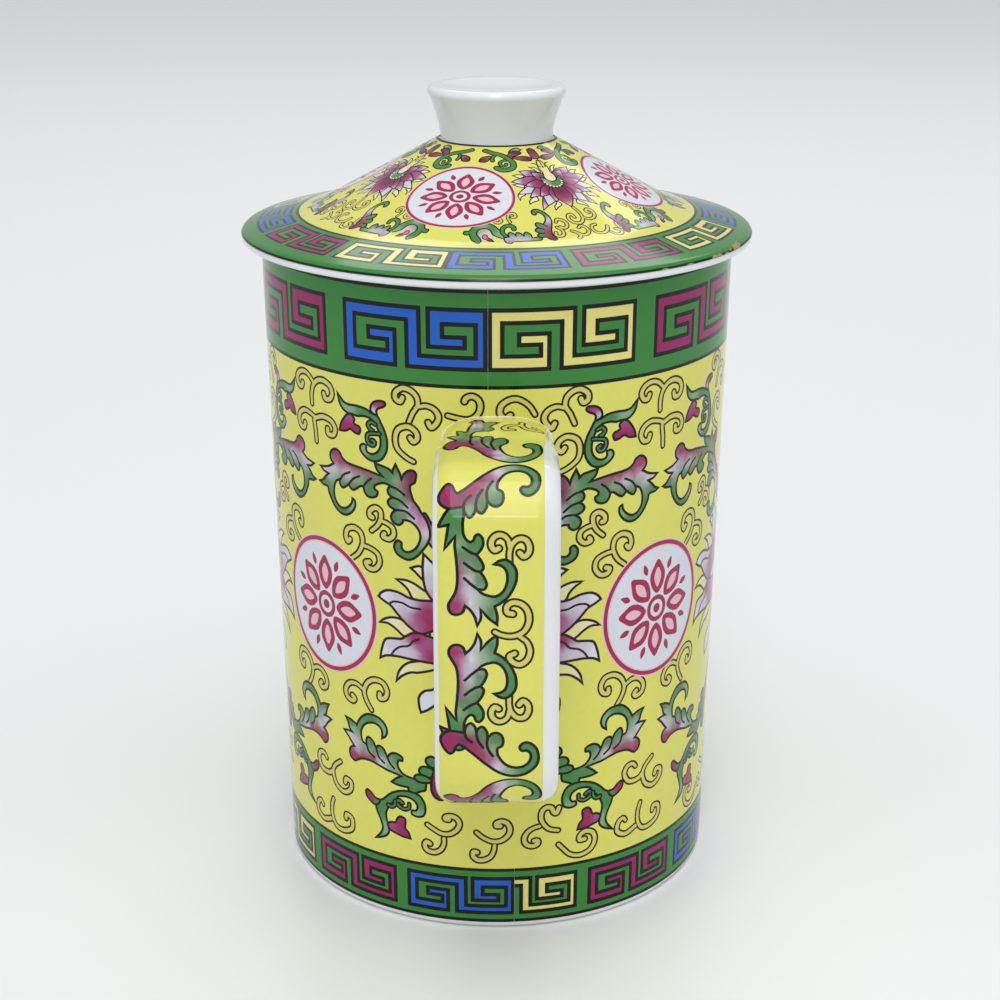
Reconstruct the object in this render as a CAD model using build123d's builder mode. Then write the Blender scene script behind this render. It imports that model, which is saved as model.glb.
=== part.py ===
from build123d import *
import math
import os

# A lidded porcelain mug, in millimetres. The origin is on the cup's axis where the foot stands,
# +Z is up and the handle points along -Y.

# Cup
cup_height = 116.0
cup_foot_radius = 39.0
cup_flare = 2.0
cup_wall = 3.3
cup_base = 4.8
cup_floor_round = 8.0
cup_lip_round = 1.0
foot_ring_width = 3.0
foot_ring_height = 1.4
foot_outer_round = 1.1
foot_inner_round = 0.6

# Strap handle: it drops from the lip and stands out from the rim
handle_drop = 21.7
handle_low = 38.0
handle_stand = 30.0
strap_width = 19.1
strap_thickness = 6.5
strap_edge_round = 2.0
strap_outer_bend = 9.0
strap_inner_bend = 4.0

# Lid: heights are counted from the seat on the cup's lip
lid_overhang = 3.5
lid_rim_height = 1.7
lid_rim_round = 1.3
lid_rim_low_round = 0.5
flange_width = 12.5
dome_foot_height = 4.9
dome_cove_radius = 12.0
dome_height = 16.9
lid_wall = 3.0
lid_crown_wall = 3.4
lid_hollow_round = 3.0
collar_depth = 7.0
collar_wall = 2.8
collar_edge_round = 0.9
collar_clearance = 0.9

# Knob: the flare is measured where its side meets the top, before the rim is rounded
knob_foot_radius = 9.7
knob_flare = 2.95
knob_height = 8.9
knob_rim_round = 1.0
knob_brim = 3.05
knob_dish_depth = 0.8
knob_waist_share = 0.305

# Enamel transfers
enamel = 0.15
seam_gap = 0.3
root_margin = 0.3
lip_margin = 1.1
upper_border_width = 15.7
foot_margin = 1.5
lower_border_width = 10.3
strip_left_margin = 2.0
strip_right_margin = 3.0
knob_margin = 0.3
lid_border_width = 10.1
lid_edge_margin = 1.2

# Places that follow from the sizes above
cup_rim_radius = cup_foot_radius + cup_flare
floor_height = foot_ring_height + cup_base
mouth_radius = cup_rim_radius - cup_wall
foot_ring_radius = cup_foot_radius - foot_ring_width
anchor_radius = cup_foot_radius - cup_wall
handle_top = cup_height - handle_drop
handle_reach = cup_rim_radius + handle_stand
gap_top = handle_top - strap_thickness
gap_low = handle_low + strap_thickness
gap_reach = handle_reach - strap_thickness
seat_height = cup_height
lid_radius = cup_rim_radius + lid_overhang
lid_rim_top = seat_height + lid_rim_height
dome_foot_radius = lid_radius - flange_width
dome_foot = seat_height + dome_foot_height
dome_top = seat_height + dome_height
collar_radius = mouth_radius - collar_clearance
collar_inner_radius = collar_radius - collar_wall
collar_low = seat_height - collar_depth
knob_top = dome_top + knob_height
knob_flare_radius = knob_foot_radius + knob_flare
knob_dish_radius = knob_flare_radius - knob_brim
upper_border_top = cup_height - lip_margin
upper_border_low = upper_border_top - upper_border_width
lower_border_low = foot_margin
lower_border_top = lower_border_low + lower_border_width
strip_width = strap_width - strip_left_margin - strip_right_margin
strip_offset = (strip_right_margin - strip_left_margin) / 2
field_inner_radius = knob_foot_radius + knob_margin
field_outer_radius = lid_radius - lid_border_width
lid_border_low = seat_height + lid_edge_margin


def cup_radius_at(height):
    """Outer radius of the cup's tapered wall at a height."""
    return cup_foot_radius + (cup_rim_radius - cup_foot_radius) * height / cup_height


def flange_height_at(radius):
    """Height of the lid's sloping flange at a radius."""
    fall = (dome_foot - lid_rim_top) / (lid_radius - dome_foot_radius)
    return dome_foot - fall * (radius - dome_foot_radius)


def corner(section, point):
    """Vertex of a section that lies nearest to a point."""
    return section.vertices().sort_by_distance(point)[0]


def radial_plane(angle):
    """Upright plane through the cup's axis, turned from +X by an angle in degrees."""
    out = Vector(1, 0, 0).rotate(Axis.Z, angle)
    side = Vector(0, -1, 0).rotate(Axis.Z, angle)
    return Plane((0, 0, 0), x_dir=out, z_dir=side)


def cup_core(grow):
    """Section of the cup's outside as a solid cone, grown outwards by a length."""
    with BuildSketch(Plane.XZ) as core:
        with BuildLine():
            Polyline(
                (0, 0),
                (cup_foot_radius + grow, 0),
                (cup_rim_radius + grow, cup_height),
                (0, cup_height),
                close=True,
            )
        make_face()
    return core.sketch


def strap_block(grow):
    """Side view of the strap's outer outline, filled in and grown outwards by a length."""
    with BuildSketch(Plane.YZ) as block:
        with Locations((-anchor_radius, handle_low - grow)):
            Rectangle(
                handle_reach + grow - anchor_radius,
                handle_top - handle_low + grow + grow,
                align=(Align.MAX, Align.MIN),
            )
        fillet(block.vertices().sort_by(Axis.X)[:2], strap_outer_bend + grow)
    return block.sketch


def strap_gap(grow):
    """Side view of the finger gap, shrunk by the length that the strap grows."""
    with BuildSketch(Plane.YZ) as gap:
        with Locations((-anchor_radius, gap_low + grow)):
            Rectangle(
                gap_reach - grow - anchor_radius,
                gap_top - gap_low - grow - grow,
                align=(Align.MAX, Align.MIN),
            )
        fillet(gap.vertices().sort_by(Axis.X)[:2], strap_inner_bend - grow)
    return gap.sketch


def lid_outline(grow):
    """Outer section of the lid from its axis to its rim, grown outwards by a length."""
    with BuildSketch(Plane.XZ) as outline:
        with BuildLine():
            Polyline(
                (0, seat_height),
                (0, dome_top),
                (knob_foot_radius, dome_top),
                (dome_foot_radius, dome_foot),
                (lid_radius, lid_rim_top),
                (lid_radius, seat_height),
                close=True,
            )
        make_face()
        fillet(corner(outline, (dome_foot_radius, dome_foot)), dome_cove_radius)
        fillet(corner(outline, (lid_radius, lid_rim_top)), lid_rim_round)
        fillet(corner(outline, (lid_radius, seat_height)), lid_rim_low_round)
        if grow:
            offset(amount=grow)
    return outline.sketch


def lid_layer(inner_radius, outer_radius, low):
    """Section of an enamel layer on the lid, between two radii and above a height."""
    reach = outer_radius - inner_radius
    with BuildSketch(Plane.XZ) as window:
        with Locations((inner_radius, low)):
            Rectangle(reach, dome_top, align=(Align.MIN, Align.MIN))
    return (lid_outline(enamel) - lid_outline(0)) & window.sketch


def cup_wrap_section(low, high):
    """Section of an enamel layer on the cup's wall, between two heights, beside its seam."""
    half_seam = math.degrees(seam_gap / cup_foot_radius) / 2
    with BuildSketch(radial_plane(half_seam - 90)) as layer:
        with BuildLine():
            Polyline(
                (cup_radius_at(low), low),
                (cup_radius_at(low) + enamel, low),
                (cup_radius_at(high) + enamel, high),
                (cup_radius_at(high), high),
                close=True,
            )
        make_face()
    return layer.sketch


wrap_arc = 360 - math.degrees(seam_gap / cup_foot_radius)
os.makedirs("parts", exist_ok=True)

# Cup: a turned wall with a rounded lip, a dished inside corner and a foot ring
with BuildPart() as cup:
    with BuildSketch(Plane.XZ) as cup_section:
        with BuildLine():
            Polyline(
                (0, foot_ring_height),
                (foot_ring_radius, foot_ring_height),
                (foot_ring_radius, 0),
                (cup_foot_radius, 0),
                (cup_rim_radius, cup_height),
                (mouth_radius, cup_height),
                (cup_radius_at(floor_height) - cup_wall, floor_height),
                (0, floor_height),
                close=True,
            )
        make_face()
        fillet(corner(cup_section, (foot_ring_radius, 0)), foot_inner_round)
        fillet(corner(cup_section, (foot_ring_radius, foot_ring_height)), foot_inner_round)
        fillet(corner(cup_section, (cup_foot_radius, 0)), foot_outer_round)
        fillet(corner(cup_section, (cup_rim_radius, cup_height)), cup_lip_round)
        fillet(corner(cup_section, (mouth_radius, cup_height)), cup_lip_round)
        fillet(corner(cup_section, (anchor_radius, floor_height)), cup_floor_round)
    revolve(axis=Axis.Z)
cup.part.label = "cup"
export_step(cup.part, "parts/cup.step")

# Handle: a flat strap bent to a squared ear, with rounded long edges, cut to the cup's wall
with BuildPart() as handle:
    extrude(strap_block(0), amount=strap_width / 2, both=True)
    extrude(strap_gap(0), amount=strap_width / 2, both=True, mode=Mode.SUBTRACT)
    strap_sides = handle.faces().filter_by(Axis.X)
    fillet(strap_sides.edges(), strap_edge_round)
    revolve(cup_core(0), axis=Axis.Z, mode=Mode.SUBTRACT)
handle.part.label = "handle"
export_step(handle.part, "parts/handle.step")

# Lid: dome, sloping flange, rounded rim, flat seat and a collar that drops into the cup's mouth
with BuildPart() as lid:
    revolve(lid_outline(0), axis=Axis.Z)
    with BuildSketch(Plane.XZ) as collar_section:
        with Locations((0, seat_height)):
            Rectangle(collar_radius, collar_depth, align=(Align.MIN, Align.MAX))
        fillet(corner(collar_section, (collar_radius, collar_low)), collar_edge_round)
    revolve(axis=Axis.Z)
    with BuildSketch(Plane.XZ) as hollow_section:
        with BuildLine():
            Polyline(
                (0, collar_low),
                (collar_inner_radius, collar_low),
                (collar_inner_radius, flange_height_at(collar_inner_radius) - lid_wall),
                (knob_foot_radius, dome_top - lid_crown_wall),
                (0, dome_top - lid_crown_wall),
                close=True,
            )
        make_face()
        shoulder = (collar_inner_radius, flange_height_at(collar_inner_radius) - lid_wall)
        fillet(corner(hollow_section, shoulder), lid_hollow_round)
        fillet(corner(hollow_section, (knob_foot_radius, dome_top - lid_crown_wall)), lid_hollow_round)
    revolve(axis=Axis.Z, mode=Mode.SUBTRACT)
lid.part.label = "lid"
export_step(lid.part, "parts/lid.step")

# Knob: flared side, rounded rim and a shallow dish on top, standing on the lid's flat crown
with BuildPart() as knob:
    with BuildSketch(Plane.XZ) as knob_section:
        knob_waist_radius = knob_foot_radius + (knob_flare_radius - knob_foot_radius) * knob_waist_share
        with BuildLine():
            foot = Line((0, dome_top), (knob_foot_radius, dome_top))
            flare = ThreePointArc(
                foot @ 1,
                (knob_waist_radius, dome_top + knob_height / 2),
                (knob_flare_radius, knob_top),
            )
            crown = Line(flare @ 1, (knob_dish_radius, knob_top))
            dish_middle = (0, knob_top - knob_dish_depth)
            dish = RadiusArc(
                crown @ 1,
                dish_middle,
                (knob_dish_radius**2 + knob_dish_depth**2) / (2 * knob_dish_depth),
            )
            Line(dish @ 1, foot @ 0)
        make_face()
        fillet(corner(knob_section, (knob_flare_radius, knob_top)), knob_rim_round)
    revolve(axis=Axis.Z)
knob.part.label = "knob"
export_step(knob.part, "parts/knob.step")

# Enamel transfers round the cup, each one sheet whose ends meet behind the handle
with BuildPart() as upper_border:
    revolve(cup_wrap_section(upper_border_low, upper_border_top), axis=Axis.Z, revolution_arc=wrap_arc)
upper_border.part.label = "upper_border"
export_step(upper_border.part, "parts/upper_border.step")

with BuildPart() as scroll_panel:
    revolve(cup_wrap_section(lower_border_top, upper_border_low), axis=Axis.Z, revolution_arc=wrap_arc)
    roots = strap_block(root_margin) - strap_gap(root_margin)
    extrude(roots, amount=strap_width / 2 + root_margin, both=True, mode=Mode.SUBTRACT)
scroll_panel.part.label = "scroll_panel"
export_step(scroll_panel.part, "parts/scroll_panel.step")

with BuildPart() as lower_border:
    revolve(cup_wrap_section(lower_border_low, lower_border_top), axis=Axis.Z, revolution_arc=wrap_arc)
lower_border.part.label = "lower_border"
export_step(lower_border.part, "parts/lower_border.step")

# Enamel transfer along the outside of the strap, from root to root
with BuildPart() as handle_strip:
    strip_side = strap_block(enamel) - strap_block(0)
    extrude(strip_side.moved(Location((-strip_offset, 0, 0))), amount=strip_width / 2, both=True)
    revolve(cup_core(enamel + root_margin), axis=Axis.Z, mode=Mode.SUBTRACT)
handle_strip.part.label = "handle_strip"
export_step(handle_strip.part, "parts/handle_strip.step")

# Enamel transfers on the lid's flange and dome
with BuildPart() as lid_border:
    revolve(
        lid_layer(field_outer_radius, lid_radius + enamel, lid_border_low),
        axis=Axis.Z,
    )
lid_border.part.label = "lid_border"
export_step(lid_border.part, "parts/lid_border.step")

with BuildPart() as lid_field:
    revolve(lid_layer(field_inner_radius, field_outer_radius, seat_height), axis=Axis.Z)
lid_field.part.label = "lid_field"
export_step(lid_field.part, "parts/lid_field.step")
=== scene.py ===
import logging
import math
from collections.abc import Callable, Sequence
from dataclasses import dataclass, field
from enum import Enum
from typing import Protocol

import bpy
import numpy as np
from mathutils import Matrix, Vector
from mathutils.geometry import delaunay_2d_cdt


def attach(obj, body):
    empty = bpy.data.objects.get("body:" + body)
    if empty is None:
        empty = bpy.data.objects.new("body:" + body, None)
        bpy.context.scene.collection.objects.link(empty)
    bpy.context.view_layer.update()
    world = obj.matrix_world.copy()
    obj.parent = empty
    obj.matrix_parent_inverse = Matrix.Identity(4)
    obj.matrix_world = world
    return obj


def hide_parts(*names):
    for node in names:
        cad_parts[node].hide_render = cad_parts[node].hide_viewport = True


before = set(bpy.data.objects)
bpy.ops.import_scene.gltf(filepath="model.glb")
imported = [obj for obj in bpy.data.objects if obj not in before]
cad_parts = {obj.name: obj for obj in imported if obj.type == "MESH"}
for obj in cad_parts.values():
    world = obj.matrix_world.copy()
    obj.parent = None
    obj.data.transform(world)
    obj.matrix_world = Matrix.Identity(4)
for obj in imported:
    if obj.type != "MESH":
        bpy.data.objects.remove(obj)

log = logging.getLogger("mug")
MM = 0.001
# Sizes of the mug in millimetres; the wall's radius grows by one over each WALL_RUN of height.
WALL_RADIUS = 40.0
FOOT_RADIUS = 39.0
RIM_RADIUS = 41.0
WALL_HEIGHT = 116.0
WALL_RUN = 58.0
STRAP_TOP = 94.3
STRAP_LOW = 38.0
DOME_TOP_RADIUS = 9.7
LID_LOW = 116.5
# Widths of inked edges in millimetres.
SCROLL_EDGE = 0.45
BUD_EDGE = 0.43
STRAP_EDGE = 0.46
SPIRAL_WIDTH = 0.34
SPIRAL_EDGE = 0.36
LID_EDGE = 0.24
# How the drawings are worked: softness of a wash, spread of a stroke, steps of a bend, points at once.
WASH_SOFTNESS = 0.2
STROKE_GAIN = 2.5
CAP_TUCK = 0.3
ARC_STEPS = 15
POINTS_AT_ONCE = 4000


class Tone(Enum):
    """Fired colours, written as sRGB levels from 0 to 255."""

    GROUND = (226, 224, 108)
    BAND = (58, 132, 58)
    BLUE = (30, 96, 200)
    MAGENTA = (152, 30, 96)
    BUTTER = (230, 222, 130)
    BLACK = (5, 8, 5)
    LEAF = (74, 132, 74)
    PALE_LEAF = (138, 172, 130)
    LEAF_INK = (5, 14, 8)
    CLUB = (156, 28, 94)
    PLUM = (112, 26, 72)
    ROSE = (206, 132, 168)
    LILAC = (210, 202, 218)
    CREAM = (236, 228, 190)
    CURL = (214, 205, 112)
    CURL_INK = (28, 24, 8)
    MAUVE = (162, 82, 138)
    RUST = (150, 84, 92)
    PETAL_INK = (34, 14, 28)
    GILT = (168, 144, 82)
    CRIMSON = (166, 40, 82)
    PINK = (234, 192, 206)
    MILK = (222, 226, 234)

    @property
    def linear(self) -> np.ndarray:
        """The tone as linear light, from 0 to 1."""
        share = np.array(self.value, float) / 255
        return np.where(share <= 0.04045, share / 12.92, ((share + 0.055) / 1.055) ** 2.4)


@dataclass(frozen=True)
class Wash:
    """A colour laid inside an outline, which runs into other tones round the spots it is given."""

    tone: Tone
    spots: tuple[tuple[float, float, Tone], ...] = ()

    def at(self, points: np.ndarray) -> np.ndarray:
        """Mixes the wash at flat points.

        Args:
            points: Places on the drawing in millimetres, one row each.

        Returns:
            One row of linear red, green and blue per place.
        """
        if not self.spots:
            return np.tile(self.tone.linear, (len(points), 1))
        places = np.array([spot[:2] for spot in self.spots])
        tones = np.array([spot[2].linear for spot in self.spots])
        far = np.linalg.norm(points[:, None] - places[None], axis=2)
        weight = 1 / (far**3 + WASH_SOFTNESS)
        return weight @ tones / weight.sum(1, keepdims=True)

    def moved(self, move: Callable[[np.ndarray], np.ndarray]) -> "Wash":
        """The same wash with its spots moved."""
        spots = tuple((*move(np.array([[u, v]]))[0], tone) for u, v, tone in self.spots)
        return Wash(self.tone, spots)


def read_path(text: str) -> tuple[np.ndarray, np.ndarray]:
    """Reads a drawn path.

    Args:
        text: Places such as "3 4.5, 6 7!", in millimetres, with ! after a sharp tip.

    Returns:
        The places, one row each, and a mask of the sharp ones.
    """
    words = [word.strip() for word in text.split(",")]
    places = np.array([[float(n) for n in word.rstrip("!").split()] for word in words])
    return places, np.array([word.endswith("!") for word in words])


def bend_through(places: np.ndarray, looped: bool = False, step: float = 0.2) -> np.ndarray:
    """Draws a smooth line through places.

    Args:
        places: The places, one row each.
        looped: Whether the line returns to its start.
        step: Rough spacing of the points that come back.

    Returns:
        Points along the line. A looped line doesn't repeat its first point.
    """
    if looped:
        ring = np.vstack([places[-1:], places, places[:2]])
    else:
        ring = np.vstack([2 * places[:1] - places[1:2], places, 2 * places[-1:] - places[-2:-1]])
    run = []
    for p0, p1, p2, p3 in zip(ring, ring[1:], ring[2:], ring[3:]):
        a = max(np.linalg.norm(p1 - p0), 1e-6) ** 0.5
        b = max(np.linalg.norm(p2 - p1), 1e-6) ** 0.5
        c = max(np.linalg.norm(p3 - p2), 1e-6) ** 0.5
        leave = (p1 - p0) / a - (p2 - p0) / (a + b) + (p2 - p1) / b
        reach = (p2 - p1) / b - (p3 - p1) / (b + c) + (p3 - p2) / c
        t = np.linspace(0, 1, max(2, math.ceil(b * b / step)), endpoint=False)[:, None]
        hill = 2 * t**3 - 3 * t**2
        run.append((hill + 1) * p1 - hill * p2 + b * ((t**3 - 2 * t**2 + t) * leave + (t**3 - t**2) * reach))
    if not looped:
        run.append(places[-1:])
    return np.vstack(run)


def thin_out(line: np.ndarray, slack: float = 0.018) -> np.ndarray:
    """Drops points that a line can do without.

    Args:
        line: Points of an open line.
        slack: How far the line may move, in millimetres.

    Returns:
        The points that stay, ends included.
    """
    keep = np.zeros(len(line), bool)
    keep[[0, -1]] = True
    spans = [(0, len(line) - 1)]
    while spans:
        i, j = spans.pop()
        if j - i < 2:
            continue
        way = line[j] - line[i]
        size = np.linalg.norm(way)
        rest = line[i + 1 : j] - line[i]
        far = np.linalg.norm(rest, axis=1)
        if size > 1e-9:
            far = np.abs(rest[:, 0] * way[1] - rest[:, 1] * way[0]) / size
        worst = int(np.argmax(far))
        if far[worst] > slack:
            keep[i + 1 + worst] = True
            spans += [(i, i + 1 + worst), (i + 1 + worst, j)]
    return line[keep]


def round_outline(text: str) -> np.ndarray:
    """Draws a closed outline through a path, smooth except at its sharp tips.

    Args:
        text: The path, as read_path takes it.

    Returns:
        Points of the outline, counterclockwise.
    """
    places, sharp = read_path(text)
    if not sharp.any():
        ring = bend_through(places, looped=True)
        ring = thin_out(np.vstack([ring, ring[:1]]))[:-1]
    else:
        first = int(np.argmax(sharp))
        places = np.roll(places, -first, axis=0)
        stops = [*np.flatnonzero(np.roll(sharp, -first)), len(places)]
        places = np.vstack([places, places[:1]])
        runs = [thin_out(bend_through(places[i : j + 1]))[:-1] for i, j in zip(stops, stops[1:])]
        ring = np.vstack(runs)
    return ring if turn_of(ring) > 0 else ring[::-1]


def turn_of(ring: np.ndarray) -> float:
    """Twice the area of a closed outline, above zero when it runs counterclockwise."""
    after = np.roll(ring, -1, axis=0)
    return float(np.sum(ring[:, 0] * after[:, 1] - ring[:, 1] * after[:, 0]))


def swell(ring: np.ndarray, out: float, reach: float = 2.2) -> np.ndarray:
    """Moves a closed outline outwards along its own normals.

    Args:
        ring: Points of the outline, counterclockwise.
        out: How far, in millimetres; below zero moves it inwards.
        reach: The most that a sharp corner may be drawn out, as a multiple.

    Returns:
        The moved points, as many as came in.
    """
    ahead = np.roll(ring, -1, axis=0) - ring
    ahead /= np.maximum(np.linalg.norm(ahead, axis=1, keepdims=True), 1e-9)
    side = np.column_stack([ahead[:, 1], -ahead[:, 0]])
    both = side + np.roll(side, 1, axis=0)
    size = np.linalg.norm(both, axis=1, keepdims=True)
    both /= np.maximum(size, 1e-9)
    stretch = np.minimum(2 / np.maximum(size, 1e-6), reach)
    return ring + both * stretch * out


def stroke_outline(spine: np.ndarray, widths: np.ndarray, blunt: bool = True) -> np.ndarray:
    """Draws the outline of a brush stroke.

    Args:
        spine: Points along the middle of the stroke.
        widths: Its full width at each point.
        blunt: Whether the ends are round rather than square.

    Returns:
        Points of the outline, counterclockwise.
    """
    ahead = np.gradient(spine, axis=0)
    ahead /= np.maximum(np.linalg.norm(ahead, axis=1, keepdims=True), 1e-9)
    side = np.column_stack([-ahead[:, 1], ahead[:, 0]])
    half = widths[:, None] / 2
    cap = np.empty((0, 2))
    foot = np.empty((0, 2))
    if blunt:
        swing = np.linspace(CAP_TUCK, np.pi - CAP_TUCK, 6)[:, None]
        cap = spine[-1] + half[-1] * (np.sin(swing) * ahead[-1] - np.cos(swing) * side[-1])
        foot = spine[0] + half[0] * (np.cos(swing) * side[0] - np.sin(swing) * ahead[0])
    return np.vstack([spine - side * half, cap, (spine + side * half)[::-1], foot])


def turns_round(points: np.ndarray, starts: np.ndarray, ends: np.ndarray) -> np.ndarray:
    """Counts how often directed edges turn round each point.

    Args:
        points: The points, one row each.
        starts: Start of each edge.
        ends: End of each edge.

    Returns:
        The winding number of each point.
    """
    total = np.zeros(len(points), int)
    for low in range(0, len(points), POINTS_AT_ONCE):
        p = points[low : low + POINTS_AT_ONCE, None]
        cross = (ends - starts)[None, :, 0] * (p[..., 1] - starts[None, :, 1])
        cross = cross - (p[..., 0] - starts[None, :, 0]) * (ends - starts)[None, :, 1]
        below = starts[None, :, 1] <= p[..., 1]
        above = ends[None, :, 1] > p[..., 1]
        rise = below & above & (cross > 0)
        fall = ~below & ~above & (cross < 0)
        total[low : low + POINTS_AT_ONCE] = rise.sum(1) - fall.sum(1)
    return total


def step_along(line: np.ndarray, step: float) -> np.ndarray:
    """Divides the long runs of a line.

    Args:
        line: Points of an open line.
        step: The longest run that stays whole.

    Returns:
        The points, with more between those that lie far apart.
    """
    run = []
    for here, after in zip(line, line[1:]):
        count = max(1, math.ceil(np.linalg.norm(after - here) / step))
        run.append(here + (after - here) * np.linspace(0, 1, count, endpoint=False)[:, None])
    return np.vstack([*run, line[-1:]])


def grid_places(
    least: np.ndarray,
    most: np.ndarray,
    count: np.ndarray,
    inset: int = 0,
) -> list[tuple[float, float]]:
    """Sets out a grid of places.

    Args:
        least: Corner with the lowest values.
        most: Corner with the highest values.
        count: How many spaces there are each way.
        inset: How many rows are left off along each edge.

    Returns:
        The places, column by column.
    """
    return [
        tuple(least + (most - least) * (i, j) / count)
        for i in range(inset, count[0] + 1 - inset)
        for j in range(inset, count[1] + 1 - inset)
    ]


@dataclass(frozen=True)
class Layer:
    """A closed outline on a drawing and the wash inside it."""

    ring: np.ndarray
    wash: Wash


@dataclass
class Cut:
    """A drawing cut into triangles: flat places, corners of the triangles and colours at the corners."""

    flat: np.ndarray
    corners: np.ndarray
    colours: np.ndarray

    @property
    def middles(self) -> np.ndarray:
        """Middle of each triangle."""
        return self.flat[self.corners].mean(1)

    def without(self, windows: Sequence[np.ndarray]) -> "Cut":
        """Leaves out the triangles inside some closed outlines.

        Args:
            windows: The outlines.

        Returns:
            The cut with what is left.
        """
        stay = np.ones(len(self.corners), bool)
        for ring in windows:
            stay &= turns_round(self.middles, ring, np.roll(ring, -1, axis=0)) == 0
        return Cut(self.flat, self.corners[stay], self.colours[stay])


@dataclass
class Drawing:
    """A flat picture in millimetres: a ground, and layers that lie on it, the last on top."""

    ground: np.ndarray
    wash: Wash
    layers: list[Layer] = field(default_factory=list)
    guides: list[np.ndarray] = field(default_factory=list)

    def lay(self, ring: np.ndarray, wash: Wash) -> None:
        """Lays one more outline on top."""
        self.layers.append(Layer(ring, wash))

    def ink_round(self, ring: np.ndarray, wash: Wash, edge: float, ink: Tone) -> None:
        """Lays a counterclockwise outline with ink along it and a wash inside."""
        self.lay(swell(ring, edge / 2), Wash(ink))
        self.lay(swell(ring, -edge / 2), wash)

    def shape(self, text: str, wash: Wash, edge: float, ink: Tone = Tone.LEAF_INK) -> None:
        """Draws a closed shape, with ink along its path and a wash inside."""
        self.ink_round(round_outline(text), wash, edge, ink)

    def block(self, ring: np.ndarray, tone: Tone, edge: float, ink: Tone = Tone.BLACK) -> None:
        """Draws a straight-sided shape, with ink along its corners and one tone inside."""
        self.ink_round(ring if turn_of(ring) > 0 else ring[::-1], Wash(tone), edge, ink)

    def stroke(
        self,
        texts: Sequence[str],
        wash: Wash,
        width: float = 0.74,
        edge: float = 0.35,
        ink: Tone = Tone.CURL_INK,
        start: float = 0.75,
        end: float = 1.0,
    ) -> None:
        """Draws brush strokes that run into each other, with one inked edge round them all.

        Args:
            texts: Paths of the middles of the strokes.
            wash: Colour inside.
            width: Full width of the colour.
            edge: Width of the ink; none when zero.
            ink: Colour of the ink.
            start: Share of the width at the start.
            end: Share of the width at the end.
        """
        spines = [thin_out(bend_through(read_path(text)[0])) for text in texts]
        for extra, colour in ((2 * edge, Wash(ink)), (0.0, wash)):
            if not extra and colour.tone is ink:
                continue
            for spine in spines:
                along = np.linspace(0, 1, len(spine))
                widths = width * (start + (end - start) * np.minimum(1, along * STROKE_GAIN)) + extra
                self.lay(stroke_outline(spine, widths), colour)

    def hair(self, text: str, width: float = 0.42, ink: Tone = Tone.LEAF_INK) -> None:
        """Draws a plain inked line along a path."""
        spine = thin_out(bend_through(read_path(text)[0]))
        self.lay(stroke_outline(spine, np.full(len(spine), width)), Wash(ink))

    def add(self, other: "Drawing", move: Callable[[np.ndarray], np.ndarray]) -> None:
        """Lays a copy of another drawing's layers on top.

        Args:
            other: The drawing to copy from.
            move: Where each of its places goes.
        """
        corner = move(np.array([[0.0, 0.0], [1.0, 0.0], [0.0, 1.0]]))
        (a, b), (c, d) = corner[1] - corner[0], corner[2] - corner[0]
        for layer in other.layers:
            ring = move(layer.ring)
            self.lay(ring if a * d - b * c > 0 else ring[::-1], layer.wash.moved(move))

    def cut(self, grid: float = 1.4) -> Cut:
        """Cuts the drawing into triangles along every outline.

        Args:
            grid: Spacing of the points that keep the triangles short enough to bend.

        Returns:
            The triangles inside the ground, each with the colours of its topmost layer.
        """
        rings = [self.ground, *(layer.ring for layer in self.layers)]
        places = []
        edges = []
        for line in [*(np.vstack([ring, ring[:1]]) for ring in rings), *self.guides]:
            line = step_along(line, grid)
            low = len(places)
            places += line.tolist()
            edges += [(low + i, low + i + 1) for i in range(len(line) - 1)]
        least, most = self.ground.min(0), self.ground.max(0)
        count = np.maximum(np.ceil((most - least) / grid).astype(int), 1)
        places += grid_places(least, most, count)
        made = delaunay_2d_cdt([tuple(p) for p in places], edges, [], 0, 1e-5, False)
        flat = np.array([tuple(p) for p in made[0]])
        corners = np.array(made[2], int)
        middles = flat[corners].mean(1)
        stay = turns_round(middles, self.ground, np.roll(self.ground, -1, axis=0)) > 0
        corners, middles = corners[stay], middles[stay]
        owner = np.full(len(corners), -1)
        for i, layer in enumerate(self.layers):
            near = np.flatnonzero(((middles >= layer.ring.min(0)) & (middles <= layer.ring.max(0))).all(1))
            inside = turns_round(middles[near], layer.ring, np.roll(layer.ring, -1, axis=0)) > 0
            owner[near[inside]] = i
        colours = np.empty((len(corners), 3, 3))
        for i in np.unique(owner):
            mine = owner == i
            wash = self.wash if i < 0 else self.layers[i].wash
            colours[mine] = wash.at(flat[corners[mine]].reshape(-1, 2)).reshape(-1, 3, 3)
        return Cut(flat, corners, colours)


class Surface(Protocol):
    """Anything a drawing can be wrapped on."""

    def place(self, flat: np.ndarray, rise: float) -> tuple[np.ndarray, np.ndarray]:
        """Places and normals in the frame, in millimetres, at a height above the surface."""


@dataclass(frozen=True)
class ConeWall:
    """The cup's tapered wall, with u round it at a radius of 40 mm and v as the height."""

    turn: float
    foot_radius: float = FOOT_RADIUS
    rim_radius: float = RIM_RADIUS
    height: float = WALL_HEIGHT

    def place(self, flat: np.ndarray, rise: float) -> tuple[np.ndarray, np.ndarray]:
        """Wraps flat places on the wall.

        Args:
            flat: Places on the drawing.
            rise: Height above the glaze, in millimetres.

        Returns:
            Places in the frame and the normals there.
        """
        angle = flat[:, 0] / WALL_RADIUS + self.turn
        slope = (self.rim_radius - self.foot_radius) / self.height
        radius = self.foot_radius + slope * flat[:, 1] + rise
        out = np.column_stack([np.sin(angle), -np.cos(angle), np.full(len(flat), -slope)])
        places = np.column_stack([radius * out[:, 0], radius * out[:, 1], flat[:, 1]])
        return places, out / np.linalg.norm(out, axis=1, keepdims=True)


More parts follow.
